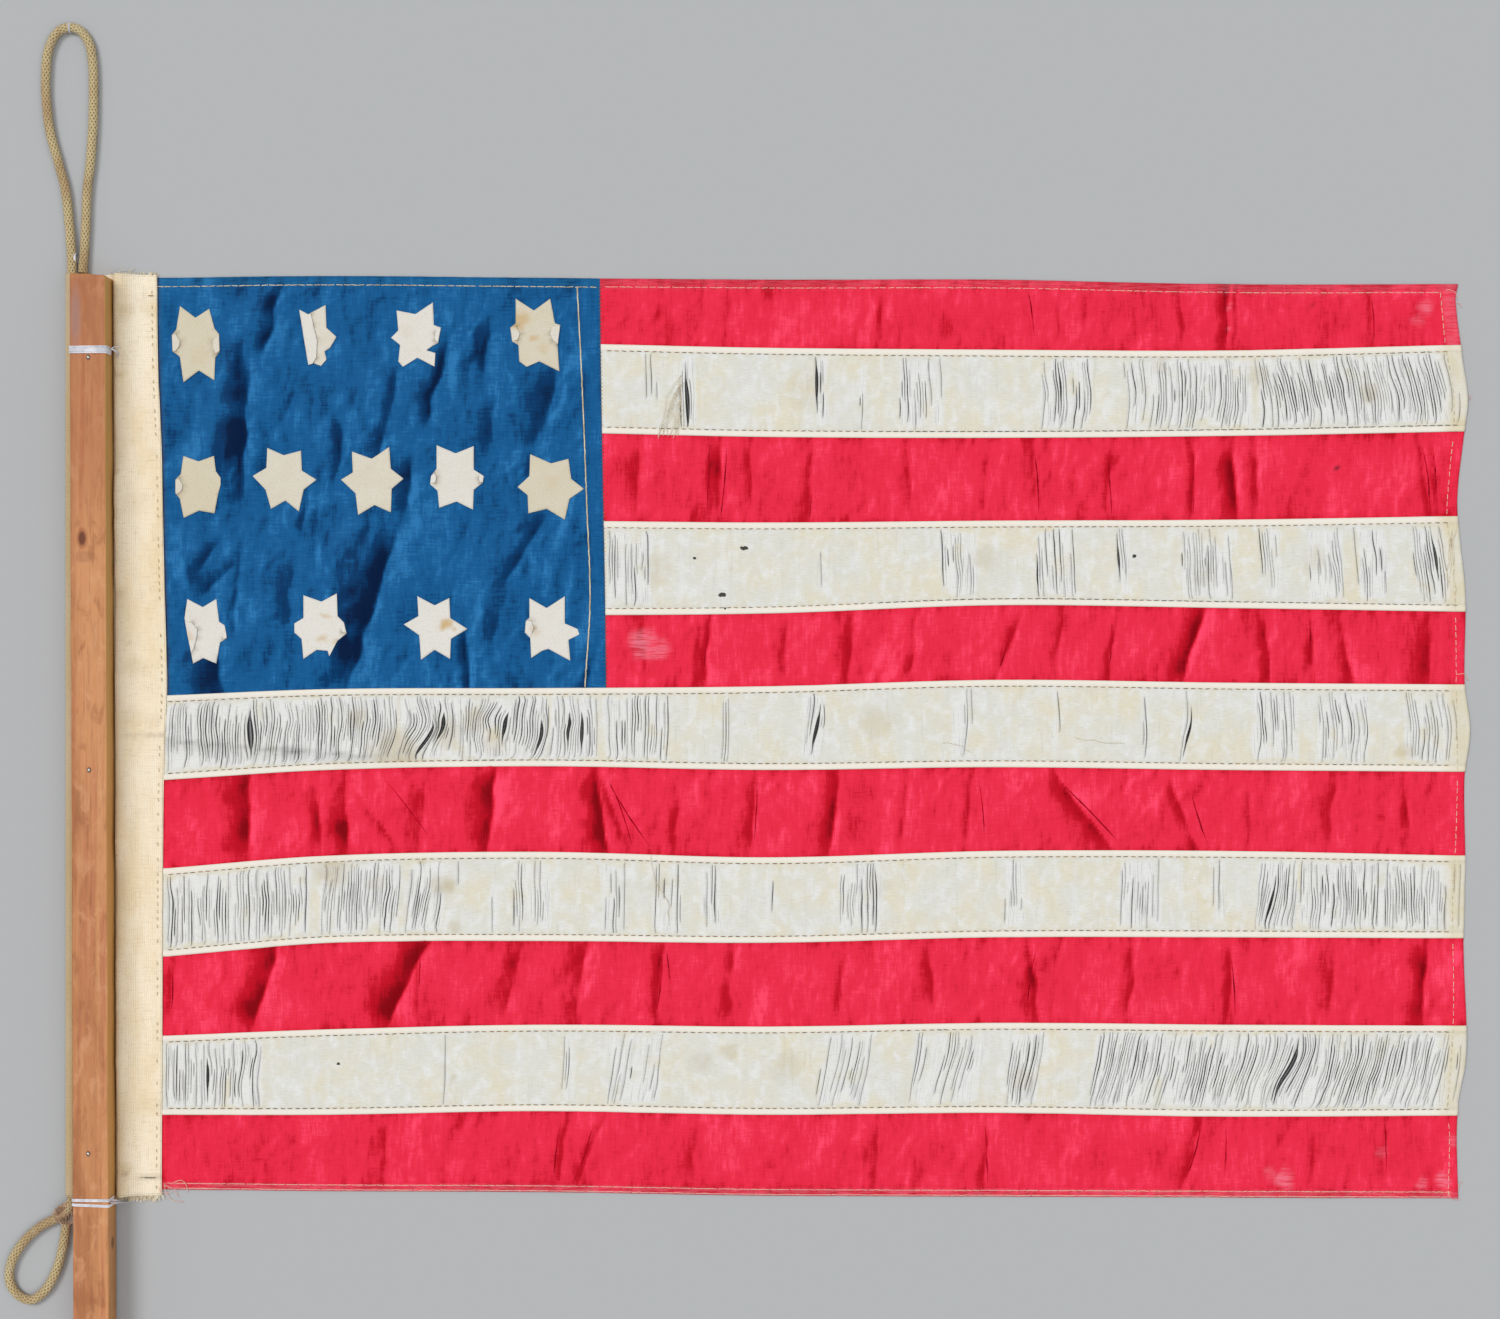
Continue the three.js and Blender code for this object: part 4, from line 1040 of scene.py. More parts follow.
starCloth = {"thickness": 0.3, "level": 0.75, "flapLevel": 0.62, "cuts": 7}
stars = [
    {"at": (-314, 268), "tint": 0.75, "outline": [
        (-9, 20.5), (-0.5, 14), (7, 19), (10, 8), (12.5, 5), (13, -4.5), (10.5, -8), (10, -20.5),
        (1.5, -15), (-7, -21.5), (-9, -7.5), (-13, -4.5), (-13.5, 4.5), (-11, 7.5)],
     "flaps": [[(-13.4, 4.2), (-11.4, 5.2), (-8.8, 1), (-9.2, -1.6), (-11.4, -4.4), (-13, -4.2)],
               [(12.4, 4.8), (12.9, -4.2), (10.9, -5.8), (9.6, -3.4), (9, 1), (10.6, 3.8)]]},
    {"at": (-247, 272), "tint": 0.45, "outline": [
        (-10.5, 14.5), (-5.5, 12), (4, 17), (4.5, 4.5), (10, -0.5), (6.5, -6.5), (3.5, -8.5),
        (4.5, -13), (1.5, -16.5), (-2.5, -15), (-5.5, -16)],
     "flaps": [[(-10.4, 14.2), (-5.6, 11.8), (-4, 12.2), (-2.8, 6.6), (-0.4, -2.3), (-1, -12),
                (-3.2, -15.4), (-5.5, -15.8)]]},
    {"at": (-193, 273), "tint": 0.2, "outline": [
        (-11, 13), (-0.5, 11), (9, 17.5), (9.5, 5), (13.5, 3.5), (12, -5), (9, -6.5), (5.5, -9),
        (10.5, -10.5), (10, -18), (0.5, -13), (-7.5, -18), (-10, -15), (-9, -6), (-14, -2), (-10, 2)],
     "flaps": [[(13.3, 3.3), (12, -4.6), (10.2, -3.6), (10.4, 0.4), (11.6, 3.2)]]},
    {"at": (-128, 273), "tint": 0.7, "outline": [
        (-10.5, 19.5), (-0.5, 13), (8.5, 19.5), (11, 6), (14, 5), (12.5, -6), (13.5, -20.5),
        (2.5, -15), (-4.5, -18), (-8.5, -15), (-9, -6), (-12.5, -4), (-13.5, 3.5), (-10.5, 6)],
     "flaps": [[(-13.3, 3.4), (-10.4, 4.4), (-8.2, 0.2), (-9.4, -3.2), (-12.4, -3.8)],
               [(13.8, 4.8), (12.7, -5.6), (10, -3.6), (8.3, 0.2), (9.6, 4.4)]]},
    {"at": (-313, 189), "tint": 0.8, "outline": [
        (-8, 17), (0.5, 14), (9, 17), (10, 8.5), (12.5, 5), (12.5, 1), (11, -4), (9, -14.5),
        (0.5, -13), (-8, -17), (-10, -6.5), (-12.5, -3.5), (-12.5, 4), (-9.5, 7)],
     "flaps": [[(-12.4, 3.8), (-10.3, 4.6), (-8.4, 0.8), (-9, -2), (-11.2, -3.8), (-12.4, -3.3)]]},
    {"at": (-265, 193), "tint": 0.55, "outline": [
        (-10, 17.5), (-1, 13.5), (8.5, 16), (9, 5), (17, 0), (10, -5.5), (7.5, -17.5), (0, -11.5),
        (-8, -16), (-11, -5.5), (-18, 2), (-10.5, 6.5)], "flaps": []},
    {"at": (-217, 192), "tint": 0.55, "outline": [
        (-11.5, 16.5), (-0.5, 12.5), (9, 19), (10, 7), (17, 1.5), (10.5, -4), (10, -17), (1, -13),
        (-8, -18.5), (-9.5, -6.5), (-17.5, 1), (-11, 5)], "flaps": []},
    {"at": (-171, 194), "tint": 0.25, "outline": [
        (-11, 18), (-0.5, 13.5), (9.5, 17.5), (9.5, 4.5), (15, 1), (14.5, -2.5), (9.5, -6.5),
        (9, -17.5), (0, -13), (-9.5, -16.5), (-10.5, -7), (-14.5, -3.5), (-14, 1), (-11, 5)],
     "flaps": [[(-14, 0.9), (-12.2, 2.6), (-11, 0), (-11.6, -2.6), (-14.4, -3.2)],
               [(14.8, 0.9), (14.4, -2.3), (12.9, -2.4), (12.2, -0.4), (12.9, 1.9)]]},
    {"at": (-119, 189), "tint": 0.75, "outline": [
        (-11.5, 18), (0, 13), (9.5, 15.5), (11, 4.5), (18, -1), (10, -6.5), (7.5, -18), (-2.5, -12),
        (-12.5, -14.5), (-13, -4.5), (-18.5, 0), (-12, 6)], "flaps": []},
    {"at": (-309, 110), "tint": 0.12, "outline": [
        (-10, 17.5), (-1.5, 13), (6, 17.5), (7.5, 5), (10.5, 3), (12, -4), (8, -6.5), (6, -18),
        (-1, -15), (-6.5, -18), (-10, -2), (-11.5, 7)],
     "flaps": [[(-11.2, 5.2), (-7.1, 4.2), (-4.4, 0.8), (-4.8, -3.6), (-6.2, -9.7), (-7.7, -12.2),
                (-9.9, -2)],
               [(11, 0.4), (11.9, -3.8), (10, -4.6), (9.6, -1.8)]]},
    {"at": (-245, 112), "tint": 0.1, "outline": [
        (-10, 17.5), (0, 14), (8.5, 18.5), (9, 6), (12.5, 2.5), (14, -3.5), (9, -7.5), (4.5, -16),
        (3.5, -13), (-2.5, -12.5), (-10, -17.5), (-11, -6.5), (-15, -3), (-15, 2), (-10, 5)],
     "flaps": [[(12.5, 2), (13.8, -3.2), (11.6, -2.6), (11.2, 0.4)]]},
    {"at": (-182, 112), "tint": 0.08, "outline": [
        (-10.5, 17), (-1, 12), (7, 16), (7.5, 5), (17, -1), (8, -6.5), (7.5, -17.5), (-1, -12.5),
        (-8.5, -18), (-9.5, -4.5), (-18, 1.5), (-10, 6)], "flaps": []},
    {"at": (-118, 111), "tint": 0.15, "outline": [
        (-13, 17), (-3.5, 11.5), (6.5, 18), (6.5, 3), (13.5, 0), (14.5, -3), (8.5, -6), (9.5, -17.5),
        (-2.5, -11), (-6, -12), (-12, -16), (-12.5, -5), (-15.5, -2), (-15, 4.5), (-13, 6)],
     "flaps": [[(-15.2, -1.8), (-14.8, 4.2), (-12, 4.6), (-10.6, 0.5), (-12.3, -4.2)]]},
]
starStains = [
    (-137, 281, 6.5, 0.6), (-128, 271, 2.6, 0.75), (-122, 265, 4, 0.25), (-177, 113.5, 4.2, 0.8),
    (-172.5, 111.5, 2, 0.6), (-244, 106, 4, 0.5), (-243, 118, 2.5, 0.45), (-236, 104, 3, 0.35),
    (-318, 108, 4, 0.35), (-128, 110, 4, 0.3), (-312, 262, 8, 0.12), (-199, 275, 5, 0.12),
    (-118, 192, 5, 0.15),
]


def clothPatch(bm, outline):
    # a flat patch of even triangles inside an outline
    face = bm.faces.new([bm.verts.new((x, y, 0)) for x, y in outline])
    made = bmesh.ops.triangulate(bm, faces=[face])["faces"]
    edges = list({edge for face in made for edge in face.edges})
    bmesh.ops.subdivide_edges(bm, edges=edges, cuts=starCloth["cuts"], use_grid_fill=True)


def awayFromLine(points, outline):
    # distance of points from the first and last points of an outline, taken as one line
    start, end = np.array(outline[0]), np.array(outline[-1])
    way = (end - start) / np.linalg.norm(end - start)
    offset = points[:, :2] - start
    return np.abs(offset[:, 0] * way[1] - offset[:, 1] * way[0])


def makeStarMaterial():
    material, tree, shader = newMaterial("yellowed cotton", 0.85, 0.2, 0.2)
    cloudy = noiseOf(tree, (90, 90, 40), 4, 0.6)
    clouds = combine(tree, "MULTIPLY", combine(tree, "SUBTRACT", cloudy, 0.5), 0.5)
    tint = combine(tree, "ADD", attributeOf(tree, "tint"), clouds)
    colour = overlaid(tree, fromScreen(222, 219, 212), ((tint, 0, 1, 1, (208, 198, 172)),))
    colour = blend(tree, attributeOf(tree, "stain"), colour, fromScreen(196, 158, 92))
    threads = noiseOf(tree, (900, 900, 100), 2)
    colour = overlaid(tree, colour, ((threads, 0.5, 0.8, 0.18, (150, 132, 100)),))
    colour = blend(tree, attributeOf(tree, "shade"), colour, fromScreen(120, 98, 70))
    tree.links.new(colour, shader.inputs["Base Color"])
    tree.links.new(plainWeave(tree, 1100, 0.05, bumpOf(tree, threads, 0.08)), shader.inputs["Normal"])
    return material


def makeStars():
    material = makeStarMaterial()
    for number, star in enumerate(stars, 1):
        atX, atY = star["at"]
        bm = bmesh.new()
        clothPatch(bm, star["outline"])
        bodyPoints = len(bm.verts)
        sizes = []
        for flap in star["flaps"]:
            before = len(bm.verts)
            clothPatch(bm, flap)
            sizes.append((flap, before, len(bm.verts)))
        bmesh.ops.recalc_face_normals(bm, faces=bm.faces)
        for face in bm.faces:
            if face.normal.z < 0:
                face.normal_flip()
        mesh = meshOf(bm, "starPatch")
        points = readPoints(mesh)
        x, y = points[:, 0] + atX, points[:, 1] + atY
        z = clothLift(x, y) + starCloth["level"] + 0.15 * wander(x / 5, y / 5, number)
        shade = np.zeros(len(z))
        tint = np.full(len(z), float(star["tint"]))
        for flap, start, end in sizes:
            part = slice(start, end)
            raised = eased(awayFromLine(points[part], flap), 0, 2.5)
            z[part] += 0.12 + starCloth["flapLevel"] * raised
            tint[part] -= 0.3
            body = slice(0, bodyPoints)
            for px, py in flap[1:-1]:
                near = hill(np.hypot(points[body][:, 0] - px, points[body][:, 1] - py), 0, 1.5)
                shade[body] = np.maximum(shade[body], 0.55 * near)
        writePoints(mesh, x, y, z)
        addAttribute(mesh, "tint", tint)
        addAttribute(mesh, "stain", spots(x, y, starStains))
        addAttribute(mesh, "shade", shade)
        piece = addPiece("starPatch" + str(number), mesh, material, ["star_" + str(number)])
        addThickness(piece, starCloth["thickness"])


makeStars()
print("stars laid on")


# Batten

batten = {
    "width": 18.1, "length": 610, "depth": 19, "middle": (-367.45, -0.7), "underside": 2.6,
    "lean": 0.2,  # degrees, turned against the hoist
    "hoistBulge": 1.2,  # the hoist side stands a little proud of square
    "arris": 0.6,
    "cuts": (2.6, 7.0, 3.0),  # between the cuts across each axis
    "nails": [(-0.3, 258.8), (-0.6, 35), (-1.8, -173.1)],
}


def ontoBatten(points):
    # from the batten's own frame, centred on it, to the flag's
    turn = math.radians(batten["lean"])
    x = points[:, 0] * math.cos(turn) - points[:, 1] * math.sin(turn) + batten["middle"][0]
    y = points[:, 0] * math.sin(turn) + points[:, 1] * math.cos(turn) + batten["middle"][1]
    return x, y, points[:, 2] + batten["underside"] + batten["depth"] / 2


def battenSide(y, side):
    middle = batten["middle"][0] - (y - batten["middle"][1]) * math.tan(math.radians(batten["lean"]))
    return middle + side * batten["width"] / 2


def makeWood():
    material, tree, shader = newMaterial("planed softwood", 0.62, 0.35)
    grain = noiseOf(tree, (240, 7, 240), 5, 0.62, 0.4)
    rings = noiseOf(tree, (110, 2.2, 110), 2, 0.5, 0.3)
    pores = noiseOf(tree, (560, 34, 560), 4, 0.65, 0.5)
    mottled = noiseOf(tree, (150, 70, 150), 4, 0.6, 0.6)
    patches = noiseOf(tree, (70, 12, 70), 3, 0.6)
    knot = spotOf(tree, (-372, 160, 21), (4.2, 8, 9))
    sideKnot = spotOf(tree, (-357.5, -224, 12), (2.5, 6, 6))
    browner = spotOf(tree, (-367, 262, 15), (60, 130, 60))
    bruise = spotOf(tree, (-375.5, 280, 21), (4, 24, 9))
    smudge = spotOf(tree, (-371, 150, 21), (9, 5, 9))
    colour = overlaid(tree, fromScreen(202, 140, 92), (
        (rings, 0.38, 0.64, 1, (176, 112, 70)),
        (grain, 0.5, 0.68, 0.7, (182, 112, 80)),
        (patches, 0.5, 0.68, 0.65, (158, 98, 58)),
        (pores, 0.5, 0.72, 0.42, (126, 74, 44)),
        (mottled, 0.52, 0.7, 0.5, (214, 158, 116)),
        (mottled, 0.46, 0.3, 0.5, (150, 90, 52)),
        (knot, 0.05, 0.6, 0.6, (150, 84, 50)),
        (knot, 0.6, 1, 0.9, (92, 44, 26)),
        (sideKnot, 0.3, 1, 0.95, (60, 36, 14)),
        (browner, 0, 0.9, 0.5, (164, 98, 62)),
    ))
    bruised = combine(tree, "MULTIPLY", bruise, gauge(tree, grain, 0.4, 0.6, 0.4, 0.8))
    colour = blend(tree, bruised, colour, fromScreen(152, 126, 128))
    colour = overlaid(tree, colour, ((smudge, 0.1, 0.9, 0.35, (140, 90, 60)),))
    for x, y in batten["nails"]:
        place = ontoBatten(np.array([[x, y, batten["depth"] / 2]]))
        around = spotOf(tree, [float(part[0]) for part in place], (2.0, 2.6, 3))
        colour = overlaid(tree, colour, ((around, 0.2, 1, 0.8, (52, 36, 30)),))
    # painted light on the fly side face, lighter and yellower than the top
    colour = blend(tree, attributeOf(tree, "grimeAndShading"), colour, fromScreen(206, 158, 84))
    tree.links.new(colour, shader.inputs["Base Color"])
    tree.links.new(gauge(tree, grain, 0.3, 0.7, 0.52, 0.72), shader.inputs["Roughness"])
    tree.links.new(bumpOf(tree, pores, 0.18, bumpOf(tree, grain, 0.25)), shader.inputs["Normal"])
    return material


def makeBatten():
    bm = bmesh.new()
    bmesh.ops.create_cube(bm, size=1)
    size = (batten["width"], batten["length"], batten["depth"])
    bmesh.ops.scale(bm, verts=bm.verts, vec=size)
    bmesh.ops.bevel(
        bm, geom=bm.edges[:], offset=batten["arris"], segments=2, profile=0.5, affect="EDGES", material=-1,
    )
    for axis, step in enumerate(batten["cuts"]):
        count = int((size[axis] / 2 - 1) / step)
        way = Matrix.Identity(3)[axis]
        for place in range(-count, count + 1):
            geom = bm.verts[:] + bm.edges[:] + bm.faces[:]
            bmesh.ops.bisect_plane(bm, geom=geom, plane_co=way * place * step, plane_no=way)
    mesh = meshOf(bm, "battenBar")
    x, y, z = readPoints(mesh).T
    end = eased(y, batten["length"] / 2 - 3, batten["length"] / 2)
    y = y - end * (0.5 + 0.5 * wander(x / 2.2 + 9, z / 6, 21) + 0.05 * (x + 9))
    x = x + 0.12 * wander(y / 40, z / 8, 22) * np.sign(x) * eased(np.abs(x), 8, 9)
    z = z - 0.25 * hill(y, 160, 6) * hill(x, -5, 4) * eased(z, 8, 9.4)
    x = x - batten["hoistBulge"] * eased(-x, 4, 9)
    writePoints(mesh, *ontoBatten(np.stack([x, y, z], axis=1)))
    # painted light: the fly side face turned lighter and yellower, more so towards the foot; the top end is
    # tinted the same
    flySide = eased(x, batten["width"] / 2 - 0.5, batten["width"] / 2 - 0.1)
    addAttribute(mesh, "grimeAndShading", flySide * (0.3 + 0.55 * eased(y, -215, -195)) + 0.35 * eased(y, 303, 305))
    addPiece("battenBar", mesh, makeWood(), ["batten"])


def makeNails():
    material, tree, shader = newMaterial("dull wire", 0.38, 0.5, 0.0, 0.9)
    rust = noiseOf(tree, (1800, 1800, 1800), 3)
    colour = overlaid(tree, fromScreen(196, 194, 188), ((rust, 0.5, 0.7, 1, (96, 74, 58)),))
    tree.links.new(colour, shader.inputs["Base Color"])
    tree.links.new(gauge(tree, rust, 0.4, 0.7, 0.3, 0.7), shader.inputs["Roughness"])
    profile = [(0, 0.85), (0.45, 0.8), (0.85, 0.6), (1.0, 0.3), (0.6, 0.2), (0.6, -3.5), (0, -4.2)]
    for number, (x, y) in enumerate(batten["nails"], 1):
        bm = bmesh.new()
        line = [bm.verts.new((radius, 0, height)) for radius, height in profile]
        edges = [bm.edges.new(pair) for pair in zip(line, line[1:])]
        bmesh.ops.spin(
            bm, geom=line + edges, cent=(0, 0, 0), axis=(0, 0, 1), angle=2 * math.pi, steps=20,
            use_merge=True,
        )
        bmesh.ops.remove_doubles(bm, verts=bm.verts, dist=1e-4)
        bmesh.ops.recalc_face_normals(bm, faces=bm.faces)
        bmesh.ops.translate(bm, verts=bm.verts, vec=(x, y, batten["depth"] / 2))
        mesh = meshOf(bm, "wireNail")
        writePoints(mesh, *ontoBatten(readPoints(mesh)))
        addPiece("wireNail" + str(number), mesh, material, ["nail_" + str(number)])


makeBatten()
makeNails()
print("batten nailed")


# Heading: canvas folded round the rope, its two layers sewn to the hoist edge

def headingSection(y):
    # the canvas's middle line in section at each y: from the lower layer's edge round to the upper one's
    sleeveX, sleeveZ = rope["inSleeve"]
    edge = headingEdge(y)
    beside = battenSide(y, 1)
    sleeve = sleeveX + 0 * y
    lower, upper = heading["lower"] + 0 * y, heading["upper"] + 0 * y
    swell = 1 + 0.22 * wander(y / 21, 0 * y, 31) + 0.1 * wander(y / 6, 0 * y, 32)
    radius = rope["diameter"] / 2 + 0.65
    line = [(edge, lower), (edge - 12, lower), (edge - 26, lower), (sleeve + 8, lower)]
    for degrees in range(-90, -391, -25):
        angle = math.radians(degrees)
        line.append((sleeve + radius * math.cos(angle), sleeveZ - 0.1 + radius * math.sin(angle) + 0 * y))
    line += [(sleeve + 5.4, upper), (beside - 5, upper), (beside + 0.1, upper)]
    line += [(beside + 1.1, upper + 1.2), (beside + 1.3, 6.2 * swell), (beside + 2.8, 7.6 * swell)]
    line += [(beside + 6, 6 * swell), (beside + 11, 3.4 + 0 * y), (beside + 16, upper + 0.2)]
    line += [(edge - 6, upper), (edge - 3, upper), (edge, upper - 0.1)]
    return np.array(line)


def makeCanvas():
    material, tree, shader = newMaterial("heading canvas", 0.92, 0.15, 0.25)
    cloudy = noiseOf(tree, (50, 18, 50), 5, 0.6)
    warp = noiseOf(tree, (1200, 110, 400), 3, 0.6)
    weft = noiseOf(tree, (110, 1200, 400), 3, 0.6)
    blotched = noiseOf(tree, (40, 9, 40), 3, 0.5)
    flecks = noiseOf(tree, (340, 340, 340), 2)
    colour = overlaid(tree, fromScreen(246, 232, 206), (
        (cloudy, 0.4, 0.64, 1, (240, 220, 184)),
        (blotched, 0.5, 0.68, 0.6, (250, 240, 220)),
        (warp, 0.54, 0.74, 0.22, (190, 164, 122)),
        (weft, 0.54, 0.72, 0.25, (184, 160, 120)),
    ))
    colour = blend(tree, attributeOf(tree, "stain"), colour, fromScreen(186, 150, 78))
    # darker where there is grime, and painted shade beside the batten and in the wrinkle
    colour = blend(tree, attributeOf(tree, "grimeAndShading"), colour, fromScreen(96, 76, 44))
    colour = overlaid(tree, colour, ((flecks, 0.74, 0.8, 0.5, (120, 96, 62)),))
    tree.links.new(colour, shader.inputs["Base Color"])
    relief = bumpOf(tree, warp, 0.2, bumpOf(tree, weft, 0.2))
    tree.links.new(plainWeave(tree, 900, 0.12, relief), shader.inputs["Normal"])
    return material


headingStains = [
    (-357, 215, 2.5, 0.7), (-357, 198, 2.5, 0.6), (-356, 250, 4, 0.4), (-356, 130, 4, 0.3),
    (-346, 90, 8, 0.3), (-357, 20, 4, 0.4), (-356, -60, 5, 0.3), (-340, 288, 7, 0.35),
    (-352, -185, 6, 0.35), (-340, -150, 8, 0.2), (-345, 180, 9, 0.2), (-338, 60, 6, 0.3),
    (-352, 285, 6, 0.4), (-350, 62, 9, 0.25),
]
headingDirt = [(-353.1, -187, 1.4, 0.8), (-352.8, 103.5, 1.0, 0.7), (-362, 217, 2, 0.6), (-362, 262, 2, 0.6)]


def makeHeading():
    rows = heading["rows"]
    rowY = np.linspace(heading["bottom"], heading["top"], rows + 1)
    controls = headingSection(rowY)  # control, axis, row
    whole = np.concatenate([2 * controls[:1] - controls[1:2], controls, 2 * controls[-1:] - controls[-2:-1]])
    section = []
    for p0, p1, p2, p3 in zip(whole, whole[1:], whole[2:], whole[3:]):
        section += [smoothStretch(p1, p2, (p2 - p0) / 2, (p3 - p1) / 2, t) for t in (0, 0.5)]
    section = np.array([*section, controls[-1]])
    columns = len(section) - 1
    mesh, column, row = gridMesh("headingCanvas", columns, rows)
    x, z = section[column, 0, row], section[column, 1, row]
    upper = eased(column, columns - 12, columns - 8)  # 1 on the layer that shows
    y = rowY[row]
    ends = 1 - eased(np.minimum(y - heading["bottom"], heading["top"] - y), 0, 3)
    y = y + ends * 0.7 * wander(x / 2.2, column / 3, 33)
    z = z + upper * (0.22 * wander(x / 8, y / 30, 34) + 0.14 * wander(x / 3.5, y / 5, 35))
    bunched = y + 2 * wander(x / 8, y / 40, 37) - heading["wrinkle"]
    z = z + upper * (0.7 * hill(bunched, 0, 2.2) - 0.3 * hill(bunched, -3, 1.2) + 0.3 * hill(bunched, 10, 3))
    z = z - upper * 0.22 * hill(x - headingEdge(y), -2.8, 0.7)
    z = np.maximum(z, heading["lower"] - 0.1)
    writePoints(mesh, x, y, z)
    beside = x - battenSide(y, 1)
    stain = 0.55 * spots(x, y, headingStains)
    # tinted tan along the batten's fly side, and on the sleeve that shows on the batten's hoist side
    stain += 0.2 * hill(beside, 4, 4) * (0.6 + 0.4 * wander(y / 15, x / 30, 36))
    stain += 0.5 * eased(battenSide(y, -1) + 0.5 - x, 0, 1.5)
    addAttribute(mesh, "stain", np.clip(stain, 0, 0.9))
    # painted shade against the batten's fly side and in the wrinkle's fold; darker on the sleeve on the
    # batten's hoist side; lines along the stitch rows, and dirt spots
    grimeAndShading = 0.16 * hill(beside, 1.4, 1.5) + 0.25 * eased(battenSide(y, -1) - x, 0, 2)
    grimeAndShading += upper * (0.3 * hill(bunched, -3, 0.9) + 0.15 * hill(y, heading["topLine"], 0.8))
    grimeAndShading += upper * 0.16 * hill(y, heading["footLine"], 0.6)
    grimeAndShading = np.maximum(grimeAndShading, spots(x, y, headingDirt))
    grimeAndShading = np.maximum(grimeAndShading, 0.45 * hill(y, heading["footLine"], 0.6) * eased(x, -346, -345) * upper)
    addAttribute(mesh, "grimeAndShading", np.clip(grimeAndShading, 0, 0.9))
    piece = addPiece("headingCanvas", mesh, makeCanvas(), ["heading"])
    addThickness(piece, heading["thickness"])


makeHeading()
print("heading folded")


# Threads: stitching, lashings and loose ends

threads = {
    "pitch": stripes["stitch"],  # a stitch and the gap after it
    "run": 2.7,
    "flyRow": 375,  # x of the stitches down the fly
    "join": 2.1,  # between the small stitches where canton and stripes meet
    "lashing": 0.42,
    # main and second colour
    "tan": ((160, 130, 84), (112, 94, 62)),
    "grey": ((96, 94, 84), (136, 126, 98)),
    "cream": ((226, 216, 190), (196, 180, 148)),
    "pink": ((246, 176, 172), (240, 206, 178)),
    "frayed canvas": ((250, 240, 216), (232, 214, 176)),
    "canvas-coloured": ((206, 184, 140), (180, 156, 112)),
    "white": ((236, 236, 242), (206, 206, 214)),
    "splice": ((198, 166, 134), (150, 112, 86)),
}


def makeThreadMaterial(name, roughness=0.8):
    material, tree, shader = newMaterial(name + " thread", roughness, 0.3, 0.2)
    main, second = threads[name]
    colour = overlaid(tree, fromScreen(*main), ((noiseOf(tree, (160, 160, 160), 3), 0.4, 0.62, 1, second),))
    tree.links.new(colour, shader.inputs["Base Color"])
    twist = waveOf(tree, (900, 900, 900), "DIAGONAL", 1)
    tree.links.new(bumpOf(tree, twist, 0.06), shader.inputs["Normal"])
    return material


greyThread, creamThread, pinkThread = (makeThreadMaterial(name) for name in ("grey", "cream", "pink"))
whiteThread = makeThreadMaterial("white", 0.6)


def liftAt(x, y):
    return float(clothLift(np.array(x), np.array(y)))


def stitchRow(places, across, level, dice, pitch=None, run=None, upright=False, share=1.0):
    # stitches along a line: places is (from, to), across is the line's own function
    pitch, run = pitch or threads["pitch"], run or threads["run"]
    row = []
    start, end = places
    for i in range(int((end - start) / pitch)):
        at = start + (i + 0.5) * pitch + dice.uniform(-0.3, 0.3)
        if dice.random() > share:
            continue
        stitch = []
        skew = dice.uniform(-0.35, 0.35)
        for step in (-0.5, 0, 0.5):
            along = at + step * run
            aside = float(across(along)) + skew * step
            x, y = (aside, along) if upright else (along, aside)
            stitch.append((x, y, liftAt(x, y) + level + (0.16 if step == 0 else -0.05)))
        row.append(stitch)
    return row


